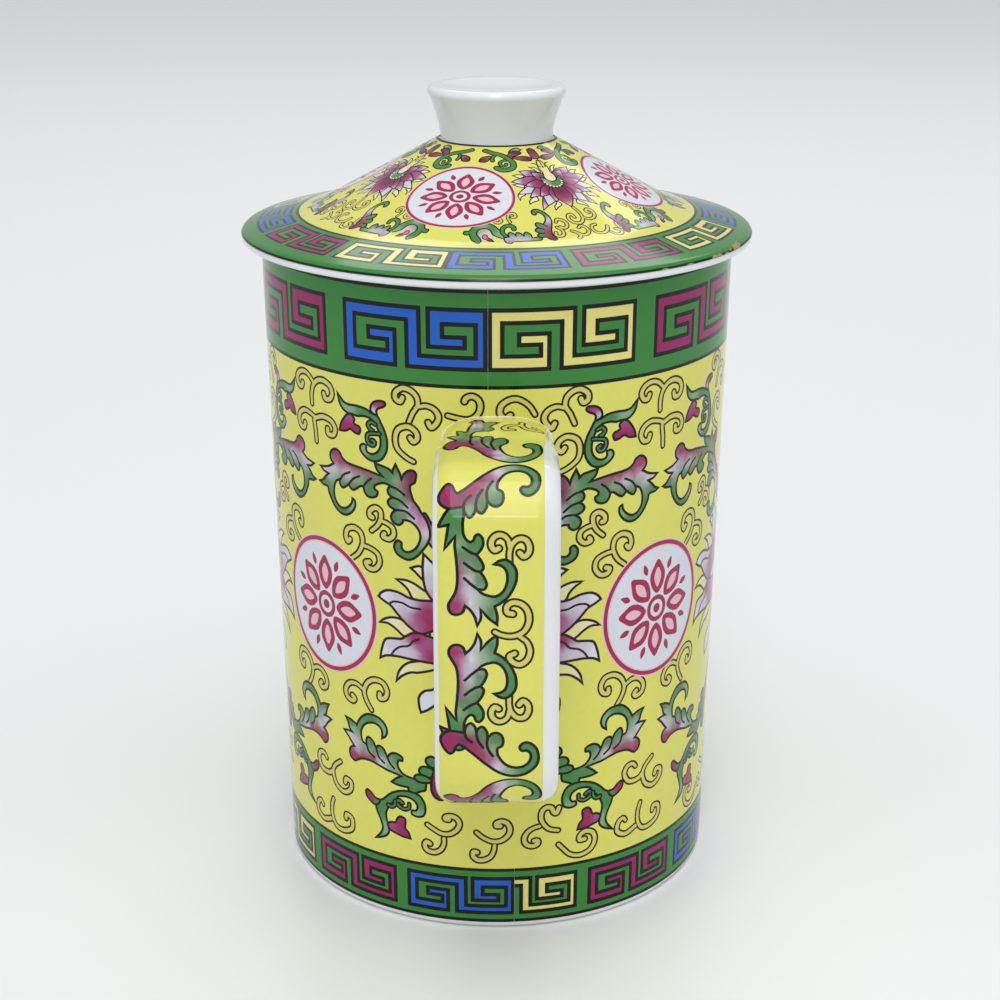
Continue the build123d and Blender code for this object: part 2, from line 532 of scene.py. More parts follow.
def filleted(corner_places: Sequence[tuple[float, float]], radii: Sequence[float]) -> np.ndarray:
    """Rounds the inner corners of an open section.

    Args:
        corner_places: Radius and height of each corner.
        radii: Round at each corner between the ends.

    Returns:
        Points along the rounded section.
    """
    corners = np.array(corner_places, float)
    run = [corners[:1]]
    for before, here, after, radius in zip(corners, corners[1:], corners[2:], radii):
        back = (before - here) / np.linalg.norm(before - here)
        ahead = (after - here) / np.linalg.norm(after - here)
        half = math.acos(np.clip(back @ ahead, -1, 1)) / 2
        middle = here + (back + ahead) / np.linalg.norm(back + ahead) * radius / math.sin(half)
        first = here + back * radius / math.tan(half) - middle
        last = here + ahead * radius / math.tan(half) - middle
        share = np.linspace(0, 1, ARC_STEPS)[:, None]
        swing = math.pi - 2 * half
        arc = np.sin((1 - share) * swing) * first + np.sin(share * swing) * last
        run.append(middle + arc / math.sin(swing))
    run.append(corners[-1:])
    return np.vstack(run)


@dataclass(frozen=True)
class Section:
    """A rounded section line, with length measured along it from its start."""

    line: np.ndarray

    @property
    def lengths(self) -> np.ndarray:
        """Length along the line at each of its points."""
        return np.concatenate([[0], np.cumsum(np.linalg.norm(np.diff(self.line, axis=0), axis=1))])

    def at(self, along: np.ndarray) -> tuple[np.ndarray, np.ndarray]:
        """Finds places on the line.

        Args:
            along: Lengths from the start.

        Returns:
            The places and the normals, which point to the left of the way along.
        """
        lengths = self.lengths
        ahead = np.gradient(self.line, lengths, axis=0)
        place = np.column_stack([np.interp(along, lengths, self.line[:, i]) for i in (0, 1)])
        way = np.column_stack([np.interp(along, lengths, ahead[:, i]) for i in (0, 1)])
        way /= np.linalg.norm(way, axis=1, keepdims=True)
        return place, np.column_stack([-way[:, 1], way[:, 0]])

    def length_at(self, radius: float) -> float:
        """Length from the start to where the line passes a radius."""
        return float(np.interp(radius, self.line[:, 0], self.lengths))


# Outside of the lid from dome to rim: radius and height of its corners, and the rounds between the ends.
LID_SECTION = Section(
    filleted(
        [(DOME_TOP_RADIUS, 132.9), (32.0, 120.9), (44.5, 117.7), (44.5, LID_LOW)],
        [12.0, 1.3],
    )
)


@dataclass(frozen=True)
class LidPlan:
    """The lid's dome seen from above, with places given as if it were rolled out flat round the knob."""

    turn: float

    def place(self, flat: np.ndarray, rise: float) -> tuple[np.ndarray, np.ndarray]:
        """Wraps flat places on the dome.

        Args:
            flat: Places on the drawing.
            rise: Height above the glaze, in millimetres.

        Returns:
            Places in the frame and the normals there.
        """
        spread = np.linalg.norm(flat, axis=1)
        angle = np.arctan2(flat[:, 0], -flat[:, 1]) + self.turn
        return turned(LID_SECTION, spread - DOME_TOP_RADIUS, angle, rise)


@dataclass(frozen=True)
class LidRim:
    """The lid's flange and rolled rim, with u round it at a radius of 40 mm and v along the section."""

    turn: float
    start: float

    def place(self, flat: np.ndarray, rise: float) -> tuple[np.ndarray, np.ndarray]:
        """Wraps flat places on the rim, and finds the normals there."""
        angle = flat[:, 0] / WALL_RADIUS + self.turn
        return turned(LID_SECTION, self.start - flat[:, 1], angle, rise)


def turned(
    section: Section,
    along: np.ndarray,
    angle: np.ndarray,
    rise: float,
) -> tuple[np.ndarray, np.ndarray]:
    """Turns a section round the mug's axis.

    Args:
        section: The section, as radius and height.
        along: Length along the section of each place.
        angle: Angle of each place from the handle's side, in radians.
        rise: Height above the section.

    Returns:
        Places in the frame and the normals there.
    """
    place, normal = section.at(along)
    place = place + normal * rise
    spin = np.column_stack([np.sin(angle), -np.cos(angle)])
    places = np.column_stack([spin * place[:, :1], place[:, 1]])
    return places, np.column_stack([spin * normal[:, :1], normal[:, 1]])


# Outside of the strap from its upper end to its lower one, both a little inside the cup's wall.
STRAP_SECTION = Section(
    filleted(
        [(39.6, STRAP_TOP), (71.0, STRAP_TOP), (71.0, STRAP_LOW), (38.6, STRAP_LOW)],
        [9.0, 9.0],
    )
)
# Length along that section from its start to the upper root.
STRAP_ROOT = 1.03


@dataclass(frozen=True)
class StrapCrown:
    """Cross-section of the strap: level in the middle of its outside, softer towards edges and roots."""

    half: float = 9.55
    level: float = 6.5
    drop: float = 2.3
    root_half: float = 8.8
    root_level: float = 1.8
    root_drop: float = 4.0
    reach: float = 16.0
    thick: float = 6.5
    inner_round: float = 2.0
    inner_step: float = 3.8
    steepest: float = 0.995

    def share(self, along: np.ndarray) -> np.ndarray:
        """Share of the root's shape at a distance along the strap from the nearer root."""
        near = np.clip(1 - along / self.reach, 0, 1)
        return near * near * (3 - 2 * near)

    def width(self, share: np.ndarray) -> np.ndarray:
        """Half the width where the root's shape has a share."""
        return self.half + share * (self.root_half - self.half)

    def crown(self, share: np.ndarray) -> tuple[np.ndarray, np.ndarray]:
        """Level half of the outside and its drop to the edge where the root's shape has a share."""
        level = self.level + share * (self.root_level - self.level)
        return level, self.drop + share * (self.root_drop - self.drop)

    def fall(self, across: np.ndarray, share: np.ndarray) -> tuple[np.ndarray, np.ndarray]:
        """Finds how far the outside has fallen at places across the strap.

        Args:
            across: Distances from the middle, right of it above zero.
            share: How much each place has of the root's shape.

        Returns:
            The fall in millimetres and its slope.
        """
        level, drop = self.crown(share)
        span = self.width(share) - level
        over = np.clip((np.abs(across) - level) / span, 0, self.steepest)
        root = np.sqrt(1 - over**2)
        return drop * (1 - root), np.sign(across) * drop * over / (root * span)

    def ring(self, share: float) -> np.ndarray:
        """Draws the cross-section.

        Args:
            share: How much of the root's shape it has.

        Returns:
            Points across and out from the level of the outside, counterclockwise.
        """
        half = self.width(share)
        level, drop = self.crown(share)
        swing = np.radians(np.linspace(0, 90, 13))
        crown = np.column_stack([level + (half - level) * np.cos(swing), drop * (np.sin(swing) - 1)])
        bend = np.radians(np.linspace(-90, 0, 7))
        soft = self.inner_round
        under = np.column_stack([half - soft + soft * np.cos(bend), soft * (1 + np.sin(bend)) - self.thick])
        middle = np.array([(level / 2, 0.0), (0.0, 0.0)])
        right = np.vstack([[(0.0, -self.thick), (self.inner_step, -self.thick)], under, crown, middle])
        return np.vstack([right, (right * (-1, 1))[-2:0:-1]])


STRAP_CROWN = StrapCrown()


@dataclass(frozen=True)
class StrapFace:
    """The outside of the strap, with u across it and v falling from zero at its upper root."""

    def place(self, flat: np.ndarray, rise: float) -> tuple[np.ndarray, np.ndarray]:
        """Wraps flat places on the strap.

        Args:
            flat: Places on the drawing.
            rise: Height above the glaze, in millimetres.

        Returns:
            Places in the frame and the normals there.
        """
        place, normal = STRAP_SECTION.at(STRAP_ROOT - flat[:, 1])
        along = STRAP_ROOT - flat[:, 1]
        share = STRAP_CROWN.share(np.minimum(along, STRAP_SECTION.lengths[-1] - along))
        across = flat[:, 0] * STRAP_CROWN.width(share) / STRAP_CROWN.half
        fall, slope = STRAP_CROWN.fall(across, share)
        tilt = np.column_stack([slope, -normal[:, 0], normal[:, 1]])
        tilt /= np.linalg.norm(tilt, axis=1, keepdims=True)
        place = place - normal * fall[:, None]
        spots = np.column_stack([across, -place[:, 0], place[:, 1]])
        return spots + tilt * rise, tilt


@dataclass(frozen=True)
class Sheet:
    """How a drawing lies on the square picture of its layout: strips of one length, stacked."""

    start: float
    length: float
    strips: int
    low: float
    height: float
    upright: bool = False
    margins: tuple[float, float] = (0.01, 0.03)
    shares: tuple[float, float] = (0.98, 0.94)

    def lay_out(self, flat: np.ndarray, middles: np.ndarray) -> np.ndarray:
        """Finds places on the picture.

        Args:
            flat: Corners of triangles on the drawing, three rows to each.
            middles: Middle of each triangle.

        Returns:
            One row from 0 to 1 both ways for each corner.
        """
        long, short = (1, 0) if self.upright else (0, 1)
        strip = np.floor((middles[:, long] - self.start) / self.length).clip(0, self.strips - 1).repeat(3)
        along = (flat[:, long] - self.start) / self.length - strip
        up = (flat[:, short] - self.low) / self.height
        across = self.margins[0] + self.shares[0] * along
        return np.column_stack([across, (strip + self.margins[1] + self.shares[1] * up) / self.strips])


def put_in_scene(name: str, data: bpy.types.ID) -> bpy.types.Object:
    """Makes an object and links it to the scene.

    Args:
        name: Its name.
        data: The mesh, light or camera that it holds.

    Returns:
        The object.
    """
    made = bpy.data.objects.new(name, data)
    bpy.context.scene.collection.objects.link(made)
    return made


@dataclass(frozen=True)
class EnamelShell:
    """A fired drawing as a thin closed shell."""

    surface: Surface
    sheet: Sheet
    face_rise: float = 0.15
    back_rise: float = 0.03
    back_grid: float = 3.0

    def build(self, name: str, cut: Cut, shift: float = 0.0) -> bpy.types.Object:
        """Wraps a cut drawing on the surface.

        Args:
            name: Name of the piece.
            cut: The drawing.
            shift: How far the drawing moves along u before it is wrapped.

        Returns:
            The piece, linked to the scene.
        """
        used, corners = np.unique(cut.corners, return_inverse=True)
        corners = corners.reshape(-1, 3)
        flat = cut.flat[used]
        move = np.array([shift, 0.0])
        ways = np.vstack([corners[:, [0, 1]], corners[:, [1, 2]], corners[:, [2, 0]]])
        keys = ways[:, 0] * len(flat) + ways[:, 1]
        twins = ways[:, 1] * len(flat) + ways[:, 0]
        rim = ways[~np.isin(keys, twins)]
        back_flat, back_corners, rim_back = self.back_of(flat, rim)
        front, front_normals = self.surface.place(flat + move, self.face_rise)
        back, back_normals = self.surface.place(back_flat + move, self.back_rise)
        twin = np.full(len(flat), -1)
        twin[rim_back[:, 0]] = rim_back[:, 1] + len(flat)
        a, b = rim[:, 0], rim[:, 1]
        walls = np.vstack([np.column_stack([b, a, twin[a]]), np.column_stack([b, twin[a], twin[b]])])
        places = np.vstack([front, back]) * MM
        faces = np.vstack([corners, back_corners[:, ::-1] + len(flat), walls])
        mesh = bpy.data.meshes.new(name)
        mesh.from_pydata(places.tolist(), [], faces.tolist())
        mesh.update()
        first, second, third = (places[walls[:, i]] for i in range(3))
        wall_normals = np.cross(second - first, third - first)
        wall_normals /= np.maximum(np.linalg.norm(wall_normals, axis=1, keepdims=True), 1e-15)
        normals = np.vstack(
            [
                front_normals[corners.ravel()],
                -back_normals[back_corners[:, ::-1].ravel()],
                wall_normals.repeat(3, axis=0),
            ]
        )
        mesh.shade_smooth()
        mesh.normals_split_custom_set(normals.tolist())
        self.paint(mesh, cut, flat, corners, rim, walls, len(back_corners))
        return put_in_scene(name, mesh)

    def back_of(self, flat: np.ndarray, rim: np.ndarray) -> tuple[np.ndarray, np.ndarray, np.ndarray]:
        """Makes the plain back of a shell, with the same edge as its face.

        Args:
            flat: Flat places of the face.
            rim: Edges of the face that have nothing beside them, with the face on their left.

        Returns:
            Flat places of the back, its triangles, and pairs of face and back places on the edge.
        """
        edge_places = np.unique(rim)
        rank = np.full(len(flat), -1)
        rank[edge_places] = np.arange(len(edge_places))
        least, most = flat[edge_places].min(0), flat[edge_places].max(0)
        count = np.maximum(np.ceil((most - least) / self.back_grid).astype(int), 2)
        places = [tuple(p) for p in flat[edge_places]] + grid_places(least, most, count, 1)
        made = delaunay_2d_cdt(places, rank[rim].tolist(), [], 0, 1e-7, True)
        back = np.array([tuple(p) for p in made[0]])
        corners = np.array(made[2], int)
        middles = back[corners].mean(1)
        corners = corners[turns_round(middles, flat[rim[:, 0]], flat[rim[:, 1]]) > 0]
        pairs = [
            (edge_places[old], new)
            for new, olds in enumerate(made[3])
            for old in olds
            if old < len(edge_places)
        ]
        kept, corners = np.unique(corners, return_inverse=True)
        place = np.full(len(back), -1)
        place[kept] = np.arange(len(kept))
        pairs = np.array([(old, place[new]) for old, new in pairs])
        return back[kept], corners.reshape(-1, 3), pairs

    def paint(
        self,
        mesh: bpy.types.Mesh,
        cut: Cut,
        flat: np.ndarray,
        corners: np.ndarray,
        rim: np.ndarray,
        walls: np.ndarray,
        back_count: int,
    ) -> None:
        """Stores the colours and the layout of a shell on its corners.

        Args:
            mesh: The shell's mesh: face triangles first, then back, then walls.
            cut: The drawing.
            flat: Flat places of the face.
            corners: Face triangles.
            rim: Edges of the face.
            walls: Wall triangles; not used.
            back_count: How many back triangles there are.
        """
        colour_at = np.zeros((len(flat), 3))
        layout_at = np.zeros((len(flat), 2))
        colours = cut.colours.reshape(-1, 3)
        layout = self.sheet.lay_out(flat[corners.ravel()], flat[corners].mean(1))
        colour_at[corners.ravel()] = colours
        layout_at[corners.ravel()] = layout
        near = np.column_stack([rim[:, 1], rim[:, 0], rim[:, 0]])
        far = np.column_stack([rim[:, 1], rim[:, 0], rim[:, 1]])
        edge = np.vstack([near, far]).ravel()
        blank = np.full(back_count * 3, rim[0, 0])
        colours = np.vstack([colours, colour_at[blank], colour_at[edge]])
        layout = np.vstack([layout, layout_at[blank], layout_at[edge]])
        tint = mesh.color_attributes.new("Fired", "FLOAT_COLOR", "CORNER")
        tint.data.foreach_set("color", np.column_stack([colours, np.ones(len(colours))]).ravel())
        mesh.uv_layers.new(name="OFBake").data.foreach_set("uv", layout.ravel())


class NodeBench:
    """Sets out the nodes of one shader tree and joins them."""

    def __init__(self, tree: bpy.types.NodeTree) -> None:
        """Takes the tree to work on, emptied."""
        self.tree = tree
        tree.nodes.clear()

    def add(
        self,
        kind: str,
        inputs: dict[str | int, object] | None = None,
        **settings: object,
    ) -> bpy.types.Node:
        """Adds a node.

        Args:
            kind: Blender's name for the node type.
            inputs: Values or sockets for its inputs, by name or place.
            settings: Other settings of the node, made before its inputs are set.

        Returns:
            The node.
        """
        node = self.tree.nodes.new(kind)
        for key, value in settings.items():
            setattr(node, key, value)
        for key, value in (inputs or {}).items():
            socket = node.inputs[key]
            if isinstance(value, bpy.types.NodeSocket):
                self.tree.links.new(value, socket)
            else:
                socket.default_value = value
        return node

    def total(self, first: object, second: object) -> bpy.types.NodeSocket:
        """Adds two values or sockets."""
        return self.add("ShaderNodeMath", {0: first, 1: second}, operation="ADD").outputs[0]

    def product(self, first: object, second: object) -> bpy.types.NodeSocket:
        """Multiplies two values or sockets."""
        return self.add("ShaderNodeMath", {0: first, 1: second}, operation="MULTIPLY").outputs[0]

    def noise(self, place: bpy.types.NodeSocket, scale: object, detail: float) -> bpy.types.NodeSocket:
        """Adds a noise texture and gives its value."""
        node = self.add("ShaderNodeTexNoise", {"Vector": place, "Scale": scale, "Detail": detail})
        return node.outputs["Fac"]


def group_tree(name: str, takes: dict[str, str], gives: dict[str, str]) -> tuple[NodeBench, bpy.types.Node]:
    """Starts a shader node group.

    Args:
        name: Name of the group.
        takes: Type of each input by name.
        gives: Type of each output by name.

    Returns:
        The bench for the group and its input node.
    """
    tree = bpy.data.node_groups.new(name, "ShaderNodeTree")
    bench = NodeBench(tree)
    for word, kind in takes.items():
        tree.interface.new_socket(name=word, in_out="INPUT", socket_type=kind)
    for word, kind in gives.items():
        tree.interface.new_socket(name=word, in_out="OUTPUT", socket_type=kind)
    return bench, bench.add("NodeGroupInput")


def glaze_ripple() -> bpy.types.NodeTree:
    """Builds the slow unevenness of a fired glaze.

    Returns:
        A group that takes a scale, a middle roughness and its spread, and gives a height and a roughness.
    """
    number = "NodeSocketFloat"
    bench, given = group_tree(
        "glaze_ripple",
        {"Scale": number, "Roughness": number, "Spread": number},
        {"Height": number, "Roughness": number},
    )
    place = bench.add("ShaderNodeTexCoord").outputs["Object"]
    wave = bench.noise(place, scale=given.outputs["Scale"], detail=2.0)
    grain = bench.total(bench.noise(place, scale=420.0, detail=3.0), -0.5)
    rough = bench.total(bench.product(grain, given.outputs["Spread"]), given.outputs["Roughness"])
    bench.add("NodeGroupOutput", {"Height": wave, "Roughness": rough})
    return bench.tree


def fired_mottle() -> bpy.types.NodeTree:
    """Builds the faint clouding of colour that firing leaves.

    Returns:
        A group that takes a colour and an amount, and gives the clouded colour.
    """
    bench, given = group_tree(
        "fired_mottle",
        {"Color": "NodeSocketColor", "Amount": "NodeSocketFloat"},
        {"Color": "NodeSocketColor"},
    )
    place = bench.add("ShaderNodeTexCoord").outputs["Object"]
    broad = bench.noise(place, scale=95.0, detail=4.0)
    fine = bench.noise(place, scale=900.0, detail=2.0)
    both = bench.total(broad, fine)
    share = bench.total(bench.product(bench.total(both, -1.0), given.outputs["Amount"]), 1.0)
    tinted = bench.add(
        "ShaderNodeVectorMath",
        {0: given.outputs["Color"], "Scale": share},
        operation="SCALE",
    )
    bench.add("NodeGroupOutput", {"Color": tinted.outputs["Vector"]})
    return bench.tree


def new_material(name: str) -> tuple[bpy.types.Material, NodeBench]:
    """Starts a material.

    Args:
        name: Its name.

    Returns:
        The material and the bench for its nodes.
    """
    material = bpy.data.materials.new(name)
    material.use_nodes = True
    return material, NodeBench(material.node_tree)


@dataclass(frozen=True)
class SharedEffects:
    """The effects that every finish on the mug shares."""

    ripple: bpy.types.NodeTree
    mottle: bpy.types.NodeTree


@dataclass(frozen=True)
class GlazeCoat:
    """The fired coat of a finish: its roughness, its ripple and how it clouds the colour under it."""

    roughness: float
    spread: float
    ripple_scale: float
    cloud: float
    specular: float = 0.5
    bump: float = 0.12
    bump_depth: float = 0.0004
    ior: float = 1.5

    def lay(
        self,
        bench: NodeBench,
        effects: SharedEffects,
        tint: bpy.types.NodeSocket,
        dullness: bpy.types.NodeSocket | None = None,
    ) -> None:
        """Lays the coat on a colour and ends the material.

        Args:
            bench: The material's bench.
            effects: The shared node groups.
            tint: The colour under the coat.
            dullness: Roughness that is added where the coat is missing.
        """
        cloud = bench.add("ShaderNodeGroup", {"Color": tint, "Amount": self.cloud}, node_tree=effects.mottle)
        ripple = bench.add(
            "ShaderNodeGroup",
            {"Scale": self.ripple_scale, "Roughness": self.roughness, "Spread": self.spread},
            node_tree=effects.ripple,
        )
        rough = ripple.outputs["Roughness"]
        if dullness is not None:
            rough = bench.total(dullness, rough)
        bump = bench.add(
            "ShaderNodeBump",
            {"Height": ripple.outputs["Height"], "Strength": self.bump, "Distance": self.bump_depth},
        )
        shader = bench.add(
            "ShaderNodeBsdfPrincipled",
            {
                "Base Color": cloud.outputs["Color"],
                "Roughness": rough,
                "Normal": bump.outputs["Normal"],
                "IOR": self.ior,
                "Specular IOR Level": self.specular,
            },
        )
        bench.add("ShaderNodeOutputMaterial", {"Surface": shader.outputs[0]})


@dataclass(frozen=True)
class PorcelainFinish:
    """Clear glaze over white porcelain, with a bare ring where the foot stood in the kiln."""

    name: str = "porcelain_glaze"
    body: tuple[float, float, float, float] = (0.82, 0.845, 0.86, 1.0)
    bare: tuple[float, float, float, float] = (0.74, 0.72, 0.67, 1.0)
    bare_height: float = 0.0007
    bare_roughness: float = 0.6
    coat: GlazeCoat = GlazeCoat(roughness=0.09, spread=0.05, ripple_scale=60.0, cloud=0.035)

    def make(self, effects: SharedEffects) -> bpy.types.Material:
        """Builds the material.

        Args:
            effects: The shared node groups.

        Returns:
            The material.
        """
        material, bench = new_material(self.name)
        place = bench.add("ShaderNodeTexCoord").outputs["Object"]
        height = bench.add("ShaderNodeSeparateXYZ", {0: place}).outputs["Z"]
        foot = bench.add(
            "ShaderNodeMapRange",
            {"Value": height, "From Min": self.bare_height, "From Max": self.bare_height * 0.5},
        ).outputs[0]
        tint = bench.add("ShaderNodeMix", {0: foot, 6: self.body, 7: self.bare}, data_type="RGBA").outputs[2]
        self.coat.lay(bench, effects, tint, bench.product(foot, self.bare_roughness))
        return material


@dataclass(frozen=True)
class EnamelFinish:
    """Fired enamel, which takes its colour from the drawing on the shell."""

    name: str
    coat: GlazeCoat

    def make(self, effects: SharedEffects) -> bpy.types.Material:
        """Builds the material.

        Args:
            effects: The shared node groups.

        Returns:
            The material.
        """
        material, bench = new_material(self.name)
        drawn = bench.add("ShaderNodeVertexColor", layer_name="Fired")
        self.coat.lay(bench, effects, drawn.outputs["Color"])
        return material


FRET_COAT = GlazeCoat(roughness=0.14, spread=0.06, ripple_scale=75.0, cloud=0.10, specular=0.27)
SCROLL_COAT = GlazeCoat(roughness=0.12, spread=0.06, ripple_scale=75.0, cloud=0.06, specular=0.27)


class Slot(Enum):
    """The record's material slots."""

    PORCELAIN = "porcelain"
    FRET = "fret_enamel"
    SCROLL = "scroll_enamel"


class Body(Enum):
    """The bodies that move as one."""

    CUP = "cup"
    LID = "lid"


def dress(piece: bpy.types.Object, material: bpy.types.Material, body: Body, node: str) -> None:
    """Gives a drawn shell its finish, its body and the node that it stands for.

    Args:
        piece: The shell.
        material: Its finish.
        body: The body it moves with.
        node: The CAD node it replaces.
    """
    piece.data.materials.append(material)
    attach(piece, body.value)
    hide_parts(node)
    log.info("%s: %d faces on %s", piece.name, len(piece.data.polygons), body.value)


# Corners of one fret block, drawn in a box of FRET_WIDTH by FRET_HEIGHT.
FRET = read_path(
    "0.3 10, 13.55 10, 13.55 2.2, 22.5 2.2, 22.5 7.6, 17.3 7.6, 17.3 5.5, 20.8 5.5,"
    " 20.8 3.8, 15.05 3.8, 15.05 10, 24 10, 24 0.3, 11.5 0.3, 11.5 7.95, 2.2 7.95,"
    " 2.2 2.5, 8.2 2.5, 8.2 4.35, 4.8 4.35, 4.8 6.1, 9.5 6.1, 9.5 0.3, 0.3 0.3"
)[0]
FRET_WIDTH = 24.3
FRET_HEIGHT = 10.3


def rectangle(left: float, low: float, right: float, high: float) -> np.ndarray:
    """Corners of an upright rectangle, counterclockwise."""
    return np.array([(left, low), (right, low), (right, high), (left, high)])


@dataclass(frozen=True)
class FretRun:
    """Where the fret blocks of a border lie: the first block's start, its width and the gap after it."""

    start: float
    width: float
    gap: float
    low: float
    high: float
    tones: tuple[Tone, ...]
    first_share: float = 1.0
    ink: float = 0.72

    def draw(self, drawing: Drawing) -> None:
        """Draws the blocks in order; the first may be cut short at its left.

        Args:
            drawing: The border's drawing.
        """
        left = self.start - (1 - self.first_share) * self.width
        scale = np.array([self.width / FRET_WIDTH, (self.high - self.low) / FRET_HEIGHT])
        for tone in self.tones:
            drawing.block(FRET * scale + (left, self.low), tone, self.ink)
            left += self.width + self.gap


@dataclass
class CupBorder:
    """A green border of fret blocks round the cup, between two black lines."""

    name: str
    turn: float
    low: float
    high: float
    run: FretRun
    strips: int
    line: float = 0.6
    seam: float = 0.03
    round_cup: float = 2 * math.pi * WALL_RADIUS

    def draw(self) -> Drawing:
        """Draws the border from its seam round to its seam.

        Returns:
            The drawing.
        """
        left, right = self.seam, self.round_cup - self.seam
        drawing = Drawing(rectangle(left, self.low, right, self.high), Wash(Tone.BAND))
        drawing.lay(rectangle(left - 1, self.high - self.line, right + 1, self.high + 1), Wash(Tone.BLACK))
        drawing.lay(rectangle(left - 1, self.low - 1, right + 1, self.low + self.line), Wash(Tone.BLACK))
        self.run.draw(drawing)
        for i in range(1, self.strips):
            cut = self.round_cup * i / self.strips
            drawing.guides.append(np.array([(cut, self.low), (cut, self.high)]))
        return drawing

    def build(self, material: bpy.types.Material) -> None:
        """Wraps the border on the cup.

        Args:
            material: The fret enamel.
        """
        sheet = Sheet(0.0, self.round_cup / self.strips, self.strips, self.low, self.high - self.low)
        shell = EnamelShell(ConeWall(self.turn), sheet)
        piece = shell.build(f"{self.name}_enamel", self.draw().cut())
        dress(piece, material, Body.CUP, self.name)


@dataclass
class LidBorder:
    """The lid's border of fret blocks on the flange, with green that runs on over the rolled rim."""

    turn: float
    run: FretRun
    inner_radius: float = 34.4
    low_height: float = 117.2
    strips: int = 4
    line: float = 0.5
    rim_line: float = 0.35
    rim_steps: tuple[float, ...] = (0.7, 1.05, 1.4, 1.75, 2.1, 2.45, 2.8)
    round_lid: float = 2 * math.pi * WALL_RADIUS
    crumbs: tuple[str, ...] = ()

    @property
    def reach(self) -> float:
        """Length along the section from the border's inner edge to its lower edge."""
        return self.start - LID_SECTION.length_at(self.inner_radius)

    @property
    def start(self) -> float:
        """Length along the lid's section at the border's lower edge."""
        return float(LID_SECTION.lengths[-1]) - (self.low_height - LID_LOW)

    def draw(self) -> Drawing:
        """Draws the border from its seam round to its seam, with v up from the rim's lower edge.

        Returns:
            The drawing.
        """
        drawing = Drawing(rectangle(0, 0, self.round_lid, self.reach), Wash(Tone.BAND))
        right = self.round_lid + 1
        drawing.lay(rectangle(-1, self.reach - self.line, right, self.reach + 1), Wash(Tone.BLACK))
        drawing.lay(rectangle(-1, -1, right, self.rim_line), Wash(Tone.BLACK))
        self.run.draw(drawing)
        for text in self.crumbs:
            drawing.lay(round_outline(text), Wash(Tone.GILT))
        for i in range(1, self.strips):
            cut = self.round_lid * i / self.strips
            drawing.guides.append(np.array([(cut, 0), (cut, self.reach)]))
        for v in self.rim_steps:
            drawing.guides.append(np.array([(0, v), (self.round_lid, v)]))
        return drawing

    def build(self, material: bpy.types.Material) -> None:
        """Wraps the border on the lid.

        Args:
            material: The fret enamel.
        """
        sheet = Sheet(0.0, self.round_lid / self.strips, self.strips, 0.0, self.reach)
        shell = EnamelShell(LidRim(self.turn, self.start), sheet)
        piece = shell.build("lid_border_enamel", self.draw().cut())
        dress(piece, material, Body.LID, "lid_border")


def flat_sheet() -> Drawing:
    """A drawing with no ground of its own, whose layers are copied to others."""
    return Drawing(rectangle(0, 0, 1, 1), Wash(Tone.GROUND))


def run_between(*spots: tuple[float, float, Tone]) -> Wash:
    """A wash that runs between the tones at some spots."""
    return Wash(spots[0][2], spots)


def tones(text: str) -> Wash:
    """Reads a wash from spots in millimetres and their tones, such as "3 4.5 LEAF, 6 7 PLUM"."""
    words = [word.split() for word in text.split(",")]
    return run_between(*((float(u), float(v), Tone[name]) for u, v, name in words))


def circle(middle: tuple[float, float], across: float, up: float, count: int = 72) -> np.ndarray:
    """Points of an ellipse, counterclockwise."""
    angle = np.linspace(0, 2 * math.pi, count, endpoint=False)
    return np.column_stack([middle[0] + across * np.cos(angle), middle[1] + up * np.sin(angle)])


@dataclass(frozen=True)
class Rosette:
    """A plain rosette in a ringed medallion: petals round an eye, with buds between them."""

    middle: tuple[float, float]
    across: float
    up: float
    ring: float
    petals: int = 8
    pale_share: float = 0.35

    def spun(self, text: str, turn: float) -> np.ndarray:
        """Places a petal's outline.

        Args:
            text: Path of the outline as shares of the medallion's half-height, with the eye at zero.
            turn: Angle of the petal, in radians.

        Returns:
            The outline on the drawing, counterclockwise.
        """
        places = bend_through(read_path(text)[0], looped=True, step=0.03)
        spin = np.array([[math.cos(turn), math.sin(turn)], [-math.sin(turn), math.cos(turn)]])
        ring = places @ spin * (self.across - self.ring, self.up - self.ring) + self.middle
        return ring if turn_of(ring) > 0 else ring[::-1]

    def draw(self, drawing: Drawing) -> None:
        """Draws the medallion and its rosette.

        Args:
            drawing: The drawing to lay them on.
        """
        pale = self.pale_share * self.ring
        drawing.lay(circle(self.middle, self.across + pale, self.up + pale), Wash(Tone.PINK))
        drawing.lay(circle(self.middle, self.across, self.up), Wash(Tone.CRIMSON))
        drawing.lay(circle(self.middle, self.across - self.ring, self.up - self.ring), Wash(Tone.PINK))
        inner = self.ring + pale
        drawing.lay(circle(self.middle, self.across - inner, self.up - inner), Wash(Tone.MILK))
        petal = "0 0.24, 0.13 0.36, 0.17 0.54, 0.1 0.68, 0 0.79, -0.1 0.68, -0.17 0.54, -0.13 0.36"
        heart = "0 0.34, 0.06 0.43, 0.075 0.54, 0 0.66, -0.075 0.54, -0.06 0.43"
        bud = "0 0.62, 0.05 0.7, 0 0.82, -0.05 0.7"
        for i in range(self.petals):
            turn = 2 * math.pi * i / self.petals
            drawing.lay(self.spun(petal, turn), Wash(Tone.CRIMSON))
            drawing.lay(self.spun(heart, turn), Wash(Tone.PINK))
            drawing.lay(self.spun(bud, turn + math.pi / self.petals), Wash(Tone.CRIMSON))
        for share, tone in ((0.2, Tone.CRIMSON), (0.13, Tone.MILK), (0.07, Tone.CRIMSON)):
            drawing.lay(circle(self.middle, self.across * share, self.up * share, 36), Wash(tone))


